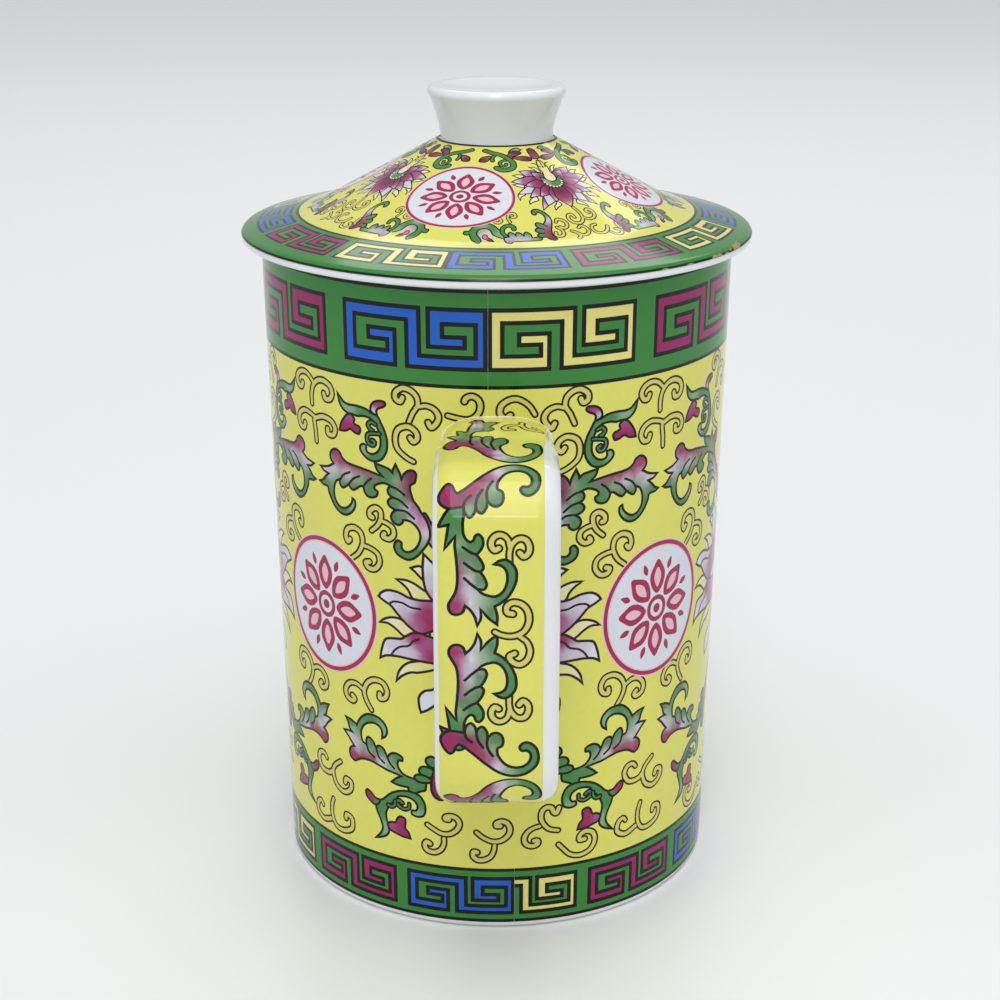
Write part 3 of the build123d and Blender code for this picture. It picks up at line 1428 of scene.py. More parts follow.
AXIS_CURLS = (
    (
        "29.7 92.6, 29.7 94.3, 30.3 96, 31.5 97, 33 97.2, 34.5 96.5, 34.9 95.3, 34.3 94.3, 33.2 94.2,"
        " 32.9 95",
        "30.2 96.5, 29 97.5, 27.7 97.8, 26.2 97.3, 25.5 96.2, 26 95.1, 26.8 95, 27.2 95.7",
    ),
    (
        "30.7 86.2, 30.6 88, 30.4 90, 31.3 90.5, 32.7 90.9, 34.7 90.5, 35.5 89.3, 35 88.2, 33.8 88.2,"
        " 33.7 89",
        "30.7 90.3, 29.3 90.8, 27.7 91, 26.2 90.2, 25.7 89, 26.3 87.9, 27.3 87.9, 27.6 88.7",
    ),
    (
        "31.2 28.5, 29.7 27.3, 29 26, 29.7 23.7, 31.7 22.7, 33.5 23.7, 33.7 25.2, 32.5 25.5, 32.2 24.7",
        "27.2 27.8, 26.5 28.5, 25.3 28.3, 24.7 27, 25.7 25.3, 28 25.2, 28.7 25.7",
    ),
    (
        "28.7 20.2, 28.2 18.7, 28.2 16.7, 29.3 15, 31.3 14.8, 33.5 16, 33.5 18, 32.2 18.3, 32 17.5",
        "25.3 17.7, 24.7 18.3, 23.7 17.7, 23.5 16, 25.3 15, 27.7 15.8",
    ),
)
SIDE_CURLS = (
    (
        "13.3 92.7, 12.5 94.5, 11.7 95.8, 11.9 97.2, 13 98.2, 14.3 98.4, 15.5 97.5, 15.5 96.5, 14.7 96.1,"
        " 14.3 96.8",
        "11.7 95.5, 10.3 95.8, 9 95.3, 8.3 94.2, 8.5 93.2, 9.5 92.2, 10 93",
    ),
    (
        "11.2 84.7, 12.3 85.2, 14 86.7, 14.3 88.5, 13.7 90, 12 90.6, 10.7 89.8, 10.5 88.7, 11.2 88.1,"
        " 11.7 88.7",
    ),
    (
        "18.8 72.7, 17.6 73.8, 16.9 75.2, 17 76.5, 17.9 76.9, 19 76.1, 19 75.2, 18.5 75.1",
        "16.9 74.8, 15.7 74.5, 14.7 73.8, 14.6 72.6, 15.5 71.8, 16.6 72.1, 16.3 72.6",
    ),
    (
        "23.2 66.7, 21.7 68, 20.8 70, 21.2 71.7, 22.5 72.3, 24 71.7, 24.4 70.3, 24 69.5, 23.5 70",
        "20.8 69.5, 19.3 69.3, 17.8 68.5, 17.5 67, 18.5 65.7, 19.8 65.7, 20.3 66.5, 19.5 66.8",
    ),
    (
        "22.5 40.8, 23.5 42.3, 24 44, 23.3 45.7, 21.8 46.7, 20 46.5, 19.2 45, 19.7 43.7, 20.7 43.5,"
        " 20.7 44.3",
        "24.2 44.3, 25.7 45, 27.3 44.7, 28.3 43.3, 28 42, 26.7 41.5, 26.2 42, 26.7 42.5",
    ),
    (
        "11.8 16, 12.7 15, 14 13.7, 16 13.2, 18 14, 18.8 15.7, 18.3 17.2, 16.8 17.7, 15.8 17, 15.8 16.2,"
        " 16.8 16.2",
    ),
)
LOTUS_CURLS = (
    (
        "-7 94.4, -5.2 94, -3.6 93.9, -2.3 94.7, -1.8 96, -2.1 97.2, -3.1 97.8, -4.1 97.4, -4.3 96.9",
    ),
    ("6.8 94.7, 6.1 95.9, 5 96.9, 3.7 97.4, 2.3 97, 1.4 96.1, 1.3 94.9, 2.1 94.2, 2.9 94.7",),
    (
        "-11.65 19.7, -10.5 19, -9 18.3, -7.5 18.4, -6.2 19.4, -5.8 20.6, -6.35 21.6, -7.4 21.9, -8.3 21.6,"
        " -8.3 21.2, -7.7 21.2",
        "-8.6 17.4, -8.65 16.2, -9.3 15, -10.5 14.4, -11.8 14.7, -12.2 15.6, -11.8 16.3, -11.2 16",
    ),
    (
        "-2.8 19.1, -1.65 18.1, 0.1 17.35, 1.7 17.6, 2.9 18.8, 3.06 20, 2.5 21, 1.6 21.3, 0.7 20.9,"
        " 0.7 20.4, 1.4 20.4",
        "0.4 16.6, 0.26 15.6, -0.3 14.4, -1.5 13.7, -2.7 13.7, -3.4 14.4, -3.3 15.3, -2.7 15.15",
    ),
    (
        "11.7 18.8, 10 19.3, 8.7 21, 8.7 22.7, 9.5 23.5, 10.5 23.3, 10.8 22.5, 11.3 22.2, 11.8 23.2",
        "8.3 20, 7.2 19.7, 6.1 18.9, 5.6 17.6, 6 16.6, 7.1 16.2, 8 16.6, 8 17.2, 7.4 17.2",
    ),
)


@dataclass
class ScrollPanel:
    """The cup's yellow ground of lotus scrolls: four like panels, split on the lotuses."""

    turn: float
    low: float = 12.0
    high: float = 98.95
    cell: float = math.pi * WALL_RADIUS / 2
    # How far drawings sit off their places: all, the mirrored scrolls, and the panel left of the seam,
    # which goes without the last side tendril and so has no slip for it.
    trace_shift: float = 0.6
    far_slips: tuple[tuple[float, float], ...] = ((-0.5, 0.0), (0.0, -0.8))
    left_slips: tuple[tuple[float, float], ...] = ((-0.6, 0.4), (1.6, -1.2))
    left_side_slips: tuple[tuple[float, float], ...] = (
        (1.0, 0.0),
        (-0.4, 1.4),
        (-0.9, 0.2),
        (-0.8, 0.4),
        (1.6, -1.2),
    )
    left_axis_slips: tuple[tuple[float, float], ...] = ((-0.4, 0.0), (-0.6, 0.0), (1.6, -1.2), (1.6, -1.2))
    upper_side_curls: int = 4
    root_cover: float = 0.1
    petal_edge: float = 0.48
    horn_edge: float = 0.46
    vein: float = 0.4
    pod: tuple[float, float] = (3.8, 3.2)
    pod_height: float = 56.5
    seed: float = 0.34
    medallion_height: float = 56.9
    medallion: tuple[float, float, float] = (11.5, 12.2, 0.75)

    def upper_scrolls(self) -> Drawing:
        """Draws the bud scroll and the leaf scroll above the lotus.

        Returns:
            One side's scrolls.
        """
        art = flat_sheet()
        art.shape(
            "24.83 95.5!, 24.2 94.8, 23.3 94, 22.3 93.8, 21 93.85, 19.7 93.75, 18.7 93.5, 18.05 93.1,"
            " 16.85 92.8, 16.2 91.7, 15.5 90.3, 15.1 88.8, 15.15 87.3, 15.7 86, 16.5 85.15, 17.7 84.8,"
            " 18.8 85, 19.8 85.7, 20.35 86.5, 20.2 87.2, 19.65 87.5, 19.1 87.25, 19.15 86.85, 19 86.3,"
            " 18.3 86, 17.5 86.15, 16.85 86.65, 16.4 87.5, 16.3 88.5, 16.5 89.7, 16.85 90.65, 17.5 91.65,"
            " 18.3 92.15, 19.5 92.3, 20.8 92.1, 21.5 92.25, 22.7 92.3, 23.7 92.85, 24.35 93.7",
            tones(
                "24.6 95.1 LEAF, 22.5 93.2 PALE_LEAF, 19.5 93 LEAF, 15.8 89 LEAF, 17.5 85.5 LEAF,"
                " 19.7 86.9 PALE_LEAF"
            ),
            BUD_EDGE,
        )
        art.shape(
            "18 93.4, 17.95 94.3, 17.3 95.05, 16.3 95.35, 15.4 95.25, 15.25 94.8, 15.85 94.3, 16.6 94,"
            " 16.95 93.5, 16.85 92.8",
            tones("16 95 CLUB, 17 94.6 CLUB, 17.4 93.4 LILAC"),
            BUD_EDGE,
        )
        art.shape(
            "21.3 91.5, 21.5 90.85, 21 90.5, 20.35 90.3, 20.15 89.85, 20.5 89.05, 21.35 89.15, 22.3 89.6,"
            " 23.15 89.15, 24 89, 24.6 89!, 24.35 90, 23.65 91.15, 22.85 92, 22.15 92.25",
            tones("20.7 89.6 CLUB, 24 89.4 CLUB, 22.4 91.6 MAUVE, 22.3 90 CLUB"),
            BUD_EDGE,
        )
        leaf = Wash(Tone.LEAF)
        for text in (
            "17.2 91.2, 18 91.5, 18.6 91, 18.3 90.35, 17.7 90",
            "16.5 89.7, 17.7 89.6, 18.7 89.3, 18.9 88.5, 18.5 87.7, 17.7 87.6, 17.45 88.15, 17.9 88.4",
        ):
            art.stroke([text], leaf, SPIRAL_WIDTH, SPIRAL_EDGE, Tone.LEAF_INK)
        art.shape(
            "8.8 77, 7.6 75.2, 6.2 73.2, 4.6 71.2, 3.2 69.8, 1.8 68.4!, 4.2 69, 6.4 70.2, 8 71.6, 9 73.4,"
            " 9.6 75.6",
            tones("8.6 75.5 MAUVE, 6.6 72.8 ROSE, 3.4 69.6 LILAC"),
            SCROLL_EDGE,
        )
        art.shape(
            "12.7 82.4!, 12.9 83.3, 13.3 84.1, 13.7 84.85!, 14.25 83.7, 14.3 83.35!, 14.85 83.85, 16 84.2,"
            " 17.55 84.5!, 17.2 83.5, 16.5 82.7, 16 82.35!, 17 82.6, 18.7 82.95, 20.7 83.25, 22.3 83.4,"
            " 23.5 83.7, 24.35 84.35, 24.7 85, 25.5 85.45, 26.35 85.25, 27 84.5, 26.95 83.5, 26.3 82.8!,"
            " 27.7 82, 29.65 81.6!, 28.7 80.95, 27.6 80.75!, 28.5 80, 29.2 79.25, 30 78.9!, 29.2 78.5,"
            " 27.95 78.3, 27.7 77.35, 27 76, 26 74.85, 24.7 74.2, 23.5 74.35, 22.35 75.2, 21.75 76.35,"
            " 21.85 77.2, 22.35 77.45!, 22.5 76.7, 23.2 75.85, 24.35 75.3, 25.35 75.5, 26.2 76.5,"
            " 26.45 77.7, 26.35 78.7, 25.85 79.8, 25 80.3!, 25 79.5, 24.5 78.95, 23.7 79.3, 23 79.85!,"
            " 22.7 79.3, 22.15 79, 21.35 79.4, 20.5 80, 19.95 80!, 19.75 79.2, 19.2 78.5, 18.2 78.4,"
            " 17.35 78.85, 17.15 79.6, 17.7 80, 17.7 80.5, 17 81, 15.8 81.3, 14.6 80.95!, 15 80.7,"
            " 15.25 80.05, 15 79.4, 14.3 79.05!, 14.9 78.75, 15.3 78.1, 15.05 77.5, 14.3 77.05,"
            " 13.6 76.95!, 14.4 76.45, 14.75 75.55, 14.3 74.65, 13.4 74.35, 12.65 74.9, 12.6 75.3!,"
            " 11.65 75.35, 10.7 74.9, 9.9 74, 9.55 72.85, 9.85 71.55, 10.6 70.45, 11.65 69.8, 12.5 69.85,"
            " 12.95 70.5, 12.95 71.25, 13.6 71.6, 14.2 71.05, 14.3 70.2, 13.9 69.3, 13 68.7, 11.8 68.4,"
            " 10.6 68.9, 9.8 69.65, 9.2 70.45, 8.4 71.6, 7.9 73, 8 74.4, 8.5 75.8, 9.4 77.1, 9.9 78,"
            " 10.6 78.85, 10.9 79.6, 11.2 80.8, 11.1 81.6, 10.4 82.1, 10.2 82.75, 10.1 83.6, 10.6 84.15,"
            " 11.4 84.05, 12.2 83.4",
            tones(
                "14 83.7 LEAF, 16.5 83.5 LEAF, 15 82.2 LEAF, 13.6 82 PALE_LEAF, 12.5 81.6 MAUVE,"
                " 11 83.5 PLUM, 11.4 82.2 PLUM, 11.7 80.7 PLUM, 11.6 79.3 PLUM, 10.8 78 MAUVE,"
                " 10 76.6 MAUVE, 9.4 75.2 ROSE, 8.8 73.4 LILAC, 9 71.6 PALE_LEAF, 10 69.9 LEAF, 12 69 LEAF,"
                " 13.6 70.4 LEAF, 14.4 80 LEAF, 13 79.8 PALE_LEAF, 14.6 78 LEAF, 13 78 LEAF,"
                " 11.9 77.6 LILAC, 14 75.4 LEAF, 12.3 76.2 LEAF, 10.9 75.7 LILAC, 18.3 79.2 LEAF,"
                " 22 79.6 LEAF, 24.3 79.6 LEAF, 27 77 LEAF, 24.5 74.8 LEAF, 22.2 76.3 PALE_LEAF,"
                " 16.8 82 LEAF, 18.4 82.4 MAUVE, 20.2 82.8 CLUB, 22 83 CLUB, 23.8 83.2 CLUB,"
                " 25.7 84.5 CLUB, 25.2 83.2 CLUB, 26 82 LILAC, 28 81.4 LILAC, 18.6 81 LEAF,"
                " 20.6 81.4 PALE_LEAF, 23 81.6 LILAC, 25.4 80.9 PALE_LEAF, 28.5 79.3 LEAF"
            ),
            SCROLL_EDGE,
        )
        for text in (
            "19.95 80, 19.2 81, 18.3 81.7",
            "23 79.85, 22 81, 20.7 81.7",
            "25 80.1, 24.2 81.2, 22.7 82",
            "14.6 80.9, 13.5 80.6, 12.2 79.7",
            "14.3 79.05, 13 78.65, 11.7 77.6",
            "13.5 76.95, 12.05 76.9, 10.6 75.8",
        ):
            art.hair(text)
        moved = flat_sheet()
        moved.add(art, lambda p: p + (self.trace_shift, 0.0))
        return moved

    def lower_scrolls(self) -> Drawing:
        """Draws the leaf scroll and the bud scroll below the lotus.

        Returns:
            One side's scrolls.
        """
        art = flat_sheet()
        leaf = Wash(Tone.LEAF)
        art.shape(
            "12.9 30.2, 14.3 30.2, 15.8 30.3, 17.1 30.8, 17.9 31.7, 18.1 32.5, 17.8 33.2, 17.2 33.2,"
            " 17.1 33.8, 17.8 34.3, 18.8 34.4, 19.6 34, 20.1 33.2!, 20.3 33.7, 20.9 34.8, 21.8 35.1,"
            " 22.3 34.7, 22.3 34!, 22.6 35, 23.4 36, 24.1 36.2, 24.5 35.6, 24.5 34.7!, 25.3 35, 25.6 36,"
            " 25.5 37.2, 24.9 38.3, 23.8 39, 22.4 39.2, 21.4 38.7, 21 37.7, 21.1 36.7!, 20.4 37.2, 20 38.2,"
            " 20.3 39.3, 21.3 40.3, 22.6 40.7, 24.1 40.6, 25.3 39.8, 26.1 38.8, 26.6 37.8!, 26.8 38,"
            " 27.9 38.5, 29.2 38.7!, 28.6 37.7, 28.3 36.7, 27.6 36.1!, 28.6 36.2, 29.7 36!, 28.6 35,"
            " 27.8 34, 27.3 33.5!, 27.9 33.3, 28.5 32.5, 28.3 31.3, 27.4 30.7, 26.6 31.1, 25.9 31.5,"
            " 24.9 31.7, 23.6 31.7, 21.9 31.3, 20.3 30.8, 18.6 30.5, 17.4 30.2!, 18.3 29.7, 19.4 28.7!,"
            " 18.3 28.4, 16.9 28.3, 16.1 28.3!, 16 27.7, 15.4 27!, 14.6 27.5, 13.6 28, 12.9 28.3",
            tones(
                "14 29.2 LEAF, 17.5 29 LEAF, 15.5 27.9 LEAF, 18.4 33.4 LEAF, 21.4 34.2 LEAF, 23.6 35 LEAF,"
                " 25.7 37 LEAF, 23.5 39.8 LEAF, 20.7 38.2 PALE_LEAF, 27.6 32 CLUB, 25 32.4 CLUB,"
                " 23.4 32.1 CLUB, 26.4 31.8 CLUB, 26.5 34 LILAC, 24.4 33.6 PALE_LEAF, 28.2 35.6 LILAC,"
                " 21.4 32 LILAC, 19.4 31.6 PALE_LEAF, 26.6 36.4 PALE_LEAF, 28.2 38 LEAF"
            ),
            SCROLL_EDGE,
        )
        for text in (
            "20.1 33.2, 19.6 32.2, 18.8 31.4",
            "22.3 34, 21.8 32.8, 20.8 32",
            "24.5 34.7, 24 33.4, 22.8 32.6",
        ):
            art.hair(text)
        for text in (
            "10.6 34.4, 11.6 35, 12.5 34.6, 12.7 33.8, 12.1 33.1, 11 32.8, 10 33.4",
            "11.6 32.6, 12.8 32.9, 13.7 32.6, 14 31.8, 13.4 31.1, 12 30.9, 10.8 31.6",
            "12.6 31, 13.6 31.2, 14.6 31, 14.9 30.3, 14.2 29.8, 12.9 29.7, 11.4 30.2",
        ):
            art.shape(text, leaf, SCROLL_EDGE)
        art.shape(
            "11.8 29.4, 11.7 28.2, 11.1 27.2, 10.2 26.8, 9.3 27.2, 8.9 28.2, 9 29.5, 8.6 32, 7.4 35,"
            " 5.6 38.5, 3.2 42!, 6.2 40, 8.6 37.2, 10.2 34.6, 11.2 32.5",
            tones(
                "10.3 27.6 PLUM, 10.4 29.2 PLUM, 10.4 31 CLUB, 9.4 33.4 MAUVE, 8 36 ROSE, 4.6 40.4 LILAC"
            ),
            SCROLL_EDGE,
        )
        art.shape(
            "15.1 23, 14.3 22.9, 13.3 23.3, 12.9 24.7, 13.2 26, 13.9 27, 15.3 27.5, 16.9 27.5, 18.6 27,"
            " 19.9 26.2, 21.1 25, 21.9 24.5, 22.8 23.3, 22.6 22.2, 21.9 20.7, 21.5 19.3, 21.8 18.3,"
            " 22.4 17.5, 23.2 16.7!, 21.9 17.2, 20.8 17.8, 20.2 18.7, 20.3 19.8, 20.6 21, 20.7 22.3,"
            " 20.1 23.7, 19.3 24.7, 18.6 25.2, 18.3 26, 16.9 26.4, 15.8 26.3, 14.8 25.7, 14.4 24.7,"
            " 14.8 24, 15.4 24, 15.6 23.3",
            tones(
                "14.5 23.4 PALE_LEAF, 13.5 25.4 LEAF, 17 27 LEAF, 20 25.2 LEAF, 21.6 22.4 LEAF,"
                " 21 19 PALE_LEAF, 22.6 17.2 LEAF"
            ),
            BUD_EDGE,
        )
        art.shape(
            "21.9 24.5, 22.9 24.7, 23.8 25.5, 24.6 25.9, 25 25.5, 24.8 24.5, 23.9 23.7, 22.8 23.3",
            tones("24.5 25.2 CLUB, 23.6 24.5 CLUB, 22.5 24 LEAF"),
            BUD_EDGE,
        )
        art.shape(
            "20.4 20.3, 19.6 20.8, 18.8 20.9, 18.4 21.8, 17.8 22.3, 16.9 22, 16.8 21.2, 16.9 20.2,"
            " 16.3 19.5, 15.9 18.3!, 17.4 18.4, 18.9 18.8, 20.1 19.3",
            tones("17.4 21.6 CLUB, 16.6 18.9 CLUB, 19.6 20 MAUVE, 17.9 20 CLUB"),
            BUD_EDGE,
        )
        for text in (
            "16 25.1, 16.1 24.3, 16.9 23.9, 17.9 24.2, 18.5 24.9, 18 25.4, 17.3 25",
            "18.8 25.1, 18.9 24.3, 19.6 23.8, 20.2 24",
        ):
            art.stroke([text], leaf, SPIRAL_WIDTH, SPIRAL_EDGE, Tone.LEAF_INK)
        return art

    def lotus(self) -> Drawing:
        """Draws one side of the lotus, horns first and broad petals over them.

        Returns:
            One side's petals; those on the lotus axis are drawn whole.
        """
        art = flat_sheet()
        ink = Tone.PETAL_INK
        for text in (
            "11.3 67.9, 12.2 67.8, 13.1 67.4!, 12.3 66.8, 11.4 65.9, 9 64, 9 66.2",
            "11.4 64, 12.6 64.7, 14.1 65.1, 15.8 65!, 14.6 64.3, 13.6 63.3, 12.9 62, 9.5 60, 8.5 62",
            "13.6 57, 15.3 57.9, 16.9 57.9, 18.4 57.3, 19.2 56.6!, 17.6 56.7, 15.9 55.8, 14.9 55, 11 54,"
            " 10 56",
            "12.1 50.6, 13.6 50.2, 14.9 49.3, 15.8 48, 16.3 46.2!, 15.3 47.3, 13.6 48.3, 12.1 48.5, 8.5 50,"
            " 9 51.5",
        ):
            places = read_path(text)[0]
            tip = places[read_path(text)[1]][0]
            root = places[-1]
            art.shape(text, run_between((*tip, Tone.CREAM), (*root, Tone.BUTTER)), self.horn_edge, ink)
        petals = (
            (
                "2.5 60, 5 64, 8 67.5, 10.8 70.2!, 11 67, 10.4 63.5, 8 60.8, 5 59",
                "10.4 68.8 MILK, 9.4 65.6 LILAC, 7.6 63.2 ROSE, 5 61 CLUB",
            ),
            (
                "11.6 61.8, 13.6 62, 15.6 62.7, 17.6 62.7, 18.8 62, 19.3 61.3!, 18.3 60.7, 16.9 60,"
                " 15.8 58.8, 13.6 56.7, 11.6 55.7, 7 57.5, 3 57, 3 61, 7 62",
                "18.3 61.6 MILK, 16 60.9 LILAC, 13.6 60.2 LILAC, 12.4 59 MAUVE, 10.8 59.4 CLUB,"
                " 9.4 57.4 CLUB, 6.5 59.4 CLUB",
            ),
            (
                "11.8 55.8, 12.9 55.7, 14.4 54.8, 15.1 54.3, 16.6 54.1, 18.1 53.7, 18.9 52, 19.3 50!,"
                " 18.3 50.6, 16.3 50.9, 13.9 50.8, 12.1 50.7, 8 50.5, 3 51, 3 55.5, 8 55",
                "18.7 51.4 MILK, 16.4 52.4 LILAC, 13.6 52 LILAC, 12.4 54.6 CLUB, 11 53 MAUVE,"
                " 9.6 51.6 CLUB, 6.5 53.2 CLUB",
            ),
            (
                "9.4 45.8, 11.1 45.2, 12.1 44, 12.1 42.3, 11.8 41.1!, 10.6 41.7, 9.6 42.5, 6.5 44.5,"
                " 3.5 48, 1.5 52, 3 53, 6 50",
                "11.7 42.2 MILK, 10.2 44.2 MILK, 8 45.6 LILAC, 6 47.6 ROSE, 3.5 51 CLUB",
            ),
            (
                "0 71.5!, 3.6 67.5, 3.8 63, 2 59.5, 0 58.8, -2 59.5, -3.8 63, -3.6 67.5",
                "0 70.5 MILK, 0 67 LILAC, 0 63 ROSE, 0 60 CLUB",
            ),
            (
                "0 39.5!, 3 42.5, 4.2 46.5, 3 51, 0 53, -3 51, -4.2 46.5, -3 42.5",
                "0 40.5 MILK, 0 44 LILAC, 0 48 ROSE, 0 52 CLUB",
            ),
        )
        for text, spots in petals:
            art.shape(text, tones(spots), self.petal_edge, ink)
        for text in (
            "11.6 60.2, 13.3 60.3, 14.9 60.9, 16.6 60.8, 17.3 60.2",
            "11.9 54.7, 12.9 54.2, 13.8 53.2, 15.3 52.8, 16.4 52, 17.1 51",
        ):
            art.hair(text, self.vein, ink)
        pod = circle((0.0, self.pod_height), *self.pod, 40)
        art.ink_round(pod, tones("0 58 BUTTER, 0 54.5 PALE_LEAF"), self.vein, ink)
        for u, v in ((0.0, 57.6), (1.5, 57.0), (0.9, 55.4), (2.5, 55.9), (-0.9, 55.4)):
            art.lay(circle((u, v), self.seed, self.seed, 12), Wash(Tone.LEAF))
        return art

    def curls(self, slipped: bool) -> Drawing:
        """Draws the tendrils of the whole panel, which all lie under the scrolls.

        Args:
            slipped: Whether they sit off their places, as on the panel left of the seam.

        Returns:
            The tendrils.
        """
        tan = Wash(Tone.CURL)
        art = flat_sheet()
        still = ((0.0, 0.0),) * len(SIDE_CURLS)
        side_slips = self.left_side_slips if slipped else still
        for i, (curl, (x, y)) in enumerate(zip(SIDE_CURLS, side_slips)):
            side = flat_sheet()
            side.stroke(curl, tan)
            near = (x, y) if i >= self.upper_side_curls else (0.0, 0.0)
            art.add(side, lambda p: p + near + (self.trace_shift, 0.0))
            art.add(side, lambda p: p * (-1.0, 1.0) + (self.cell - self.trace_shift + x, y))
        for curl, (x, y) in zip(AXIS_CURLS, self.left_axis_slips if slipped else still):
            axis = flat_sheet()
            axis.stroke(curl, tan)
            art.add(axis, lambda p: p + (self.trace_shift + x, y))
        lotus = flat_sheet()
        for curl in LOTUS_CURLS:
            lotus.stroke(curl, tan)
        art.add(lotus, lambda p: p + (self.trace_shift, 0.0))
        art.add(lotus, lambda p: p + (self.trace_shift + self.cell, 0.0))
        return art

    def windows(self) -> list[list[np.ndarray]]:
        """Finds where the strap's roots stand on the wall.

        Returns:
            For the panel right of the seam and then the one left of it, the outlines that stay bare.
        """
        right = []
        for outside, way in ((STRAP_TOP, 1.0), (STRAP_LOW, -1.0)):
            ring = swell(STRAP_CROWN.ring(1.0), -self.root_cover)
            height = outside + way * ring[:, 1]
            angle = np.arcsin(ring[:, 0] / (FOOT_RADIUS + height / WALL_RUN))
            flat = np.column_stack([(angle - self.turn) * WALL_RADIUS, height])
            right.append(flat if turn_of(flat) > 0 else flat[::-1])
        return [right, [ring + (self.cell, 0.0) for ring in right]]

    def draw(self, slipped: bool) -> Drawing:
        """Draws one panel from lotus to lotus.

        Args:
            slipped: Whether its scrolls sit off their places, as on the panel left of the seam.

        Returns:
            The drawing.
        """
        slips = self.left_slips if slipped else ((0.0, 0.0), (0.0, 0.0))
        drawing = Drawing(rectangle(0.0, self.low, self.cell, self.high), Wash(Tone.GROUND))
        drawing.add(self.curls(slipped), lambda p: p)
        scrolls = (self.upper_scrolls(), self.lower_scrolls())
        for art, (x, y), (far_x, far_y) in zip(scrolls, slips, self.far_slips):
            drawing.add(art, lambda p: p + (x, y))
            drawing.add(art, lambda p: p * (-1.0, 1.0) + (self.cell + x + far_x, y + far_y))
        flower = self.lotus()
        drawing.add(flower, lambda p: p)
        drawing.add(flower, lambda p: (self.cell, 0.0) + p * (-1.0, 1.0))
        Rosette((self.cell / 2, self.medallion_height), *self.medallion).draw(drawing)
        for rings in self.windows():
            for ring in rings:
                drawing.guides.append(np.vstack([ring, ring[:1]]))
        return drawing

    def build(self, material: bpy.types.Material) -> None:
        """Wraps the four panels on the cup.

        Args:
            material: The scroll enamel.
        """
        true = self.draw(False).cut()
        slipped = self.draw(True).cut()
        right, left = self.windows()
        sheet = Sheet(0.0, self.cell, 1, self.low, self.high - self.low)
        shell = EnamelShell(ConeWall(self.turn), sheet)
        panels = (true.without(right), true, true, slipped.without(left))
        for i, part in enumerate(panels):
            piece = shell.build(f"scroll_panel_enamel_{i + 1}", part, i * self.cell)
            dress(piece, material, Body.CUP, "scroll_panel")


def rolled(text: str) -> str:
    """Rolls a path out flat.

    Args:
        text: Path in degrees round the lid and millimetres out from the knob.

    Returns:
        The path on the lid's flat drawing.
    """
    places, sharp = read_path(text)
    angle = np.radians(places[:, 0])
    spread = DOME_TOP_RADIUS + places[:, 1]
    flat = zip(spread * np.sin(angle), -spread * np.cos(angle), sharp)
    return ", ".join(f"{x:.3f} {y:.3f}{'!' if tip else ''}" for x, y, tip in flat)


def downward(text: str) -> str:
    """Turns a path given as millimetres across and down from the knob's middle into a flat one."""
    places, sharp = read_path(text)
    return ", ".join(f"{x:.3f} {-y:.3f}{'!' if tip else ''}" for (x, y), tip in zip(places, sharp))


def spin_by(degrees: float) -> Callable[[np.ndarray], np.ndarray]:
    """A move that turns flat places round the knob."""
    c, s = math.cos(math.radians(degrees)), math.sin(math.radians(degrees))
    return lambda p: p @ np.array([[c, s], [-s, c]])


LID_TENDRILS = (
    (
        "0.1 27.3, 0.5 28.5, 0.6 29.8, 0.1 30.9, -0.8 31.4, -1.9 31, -2.3 30, -1.9 29.2, -1.2 29.1, -1 29.8",
        "0.7 30.2, 1.6 30.6, 2.6 30.4, 3.3 29.6, 3.3 28.6, 2.7 28.1, 2.1 28.5, 2.4 29",
    ),
    (
        "-5.1 30.3, -4.5 29.7, -3.7 30.1, -3.3 31, -3.7 31.8, -4.4 32, -4.9 31.6",
        "-5.6 31.5, -5 32.4, -5.2 33.4, -6 33.8, -6.7 33.3, -6.4 32.7",
    ),
    (
        "-1.7 32.5, -1 32.1, -0.3 32.6, -0.2 33.6, -0.9 34.3, -1.8 34.4, -2.4 33.8",
        "-3.4 33, -2.6 33.6, -2.4 34.6, -3 35.1",
    ),
    (
        "2 32.1, 1.1 32.4, 0.8 33.4, 1.5 34.3, 2.7 34.3, 3.7 33.6, 4.2 32.7",
        "4 34.2, 4.6 34.9, 5.6 35, 6.3 34.4, 6.1 33.6, 5.5 33.5",
    ),
    ("7 31.2, 6.4 32, 6.6 33, 7.4 33.2, 7.8 32.6",),
)
LID_HORNS = (
    "-6.6 21.4, -7.6 21.6, -8.2 22.3, -8.3 23.3!, -7.7 22.6, -6.8 22.4",
    "-5.2 23.4, -6.2 23.6, -6.8 24, -7.2 24.8!, -6.2 24.5, -5.2 24.4",
    "-2 25.4, -2.6 26.1, -3.2 26.6, -3.4 27.5!, -2.6 26.9, -1.6 26.4",
    "-4.6 17.8, -5.4 17.2, -6.4 17.1!, -5.9 17.8, -5.2 18.4",
    "-5.8 19.8, -6.6 19.4, -7.6 19.2!, -6.9 20, -6 20.6",
    "-1.5 18.4, -1.9 17, -2.6 16!, -1.6 16.3, -1.1 17.4",
)


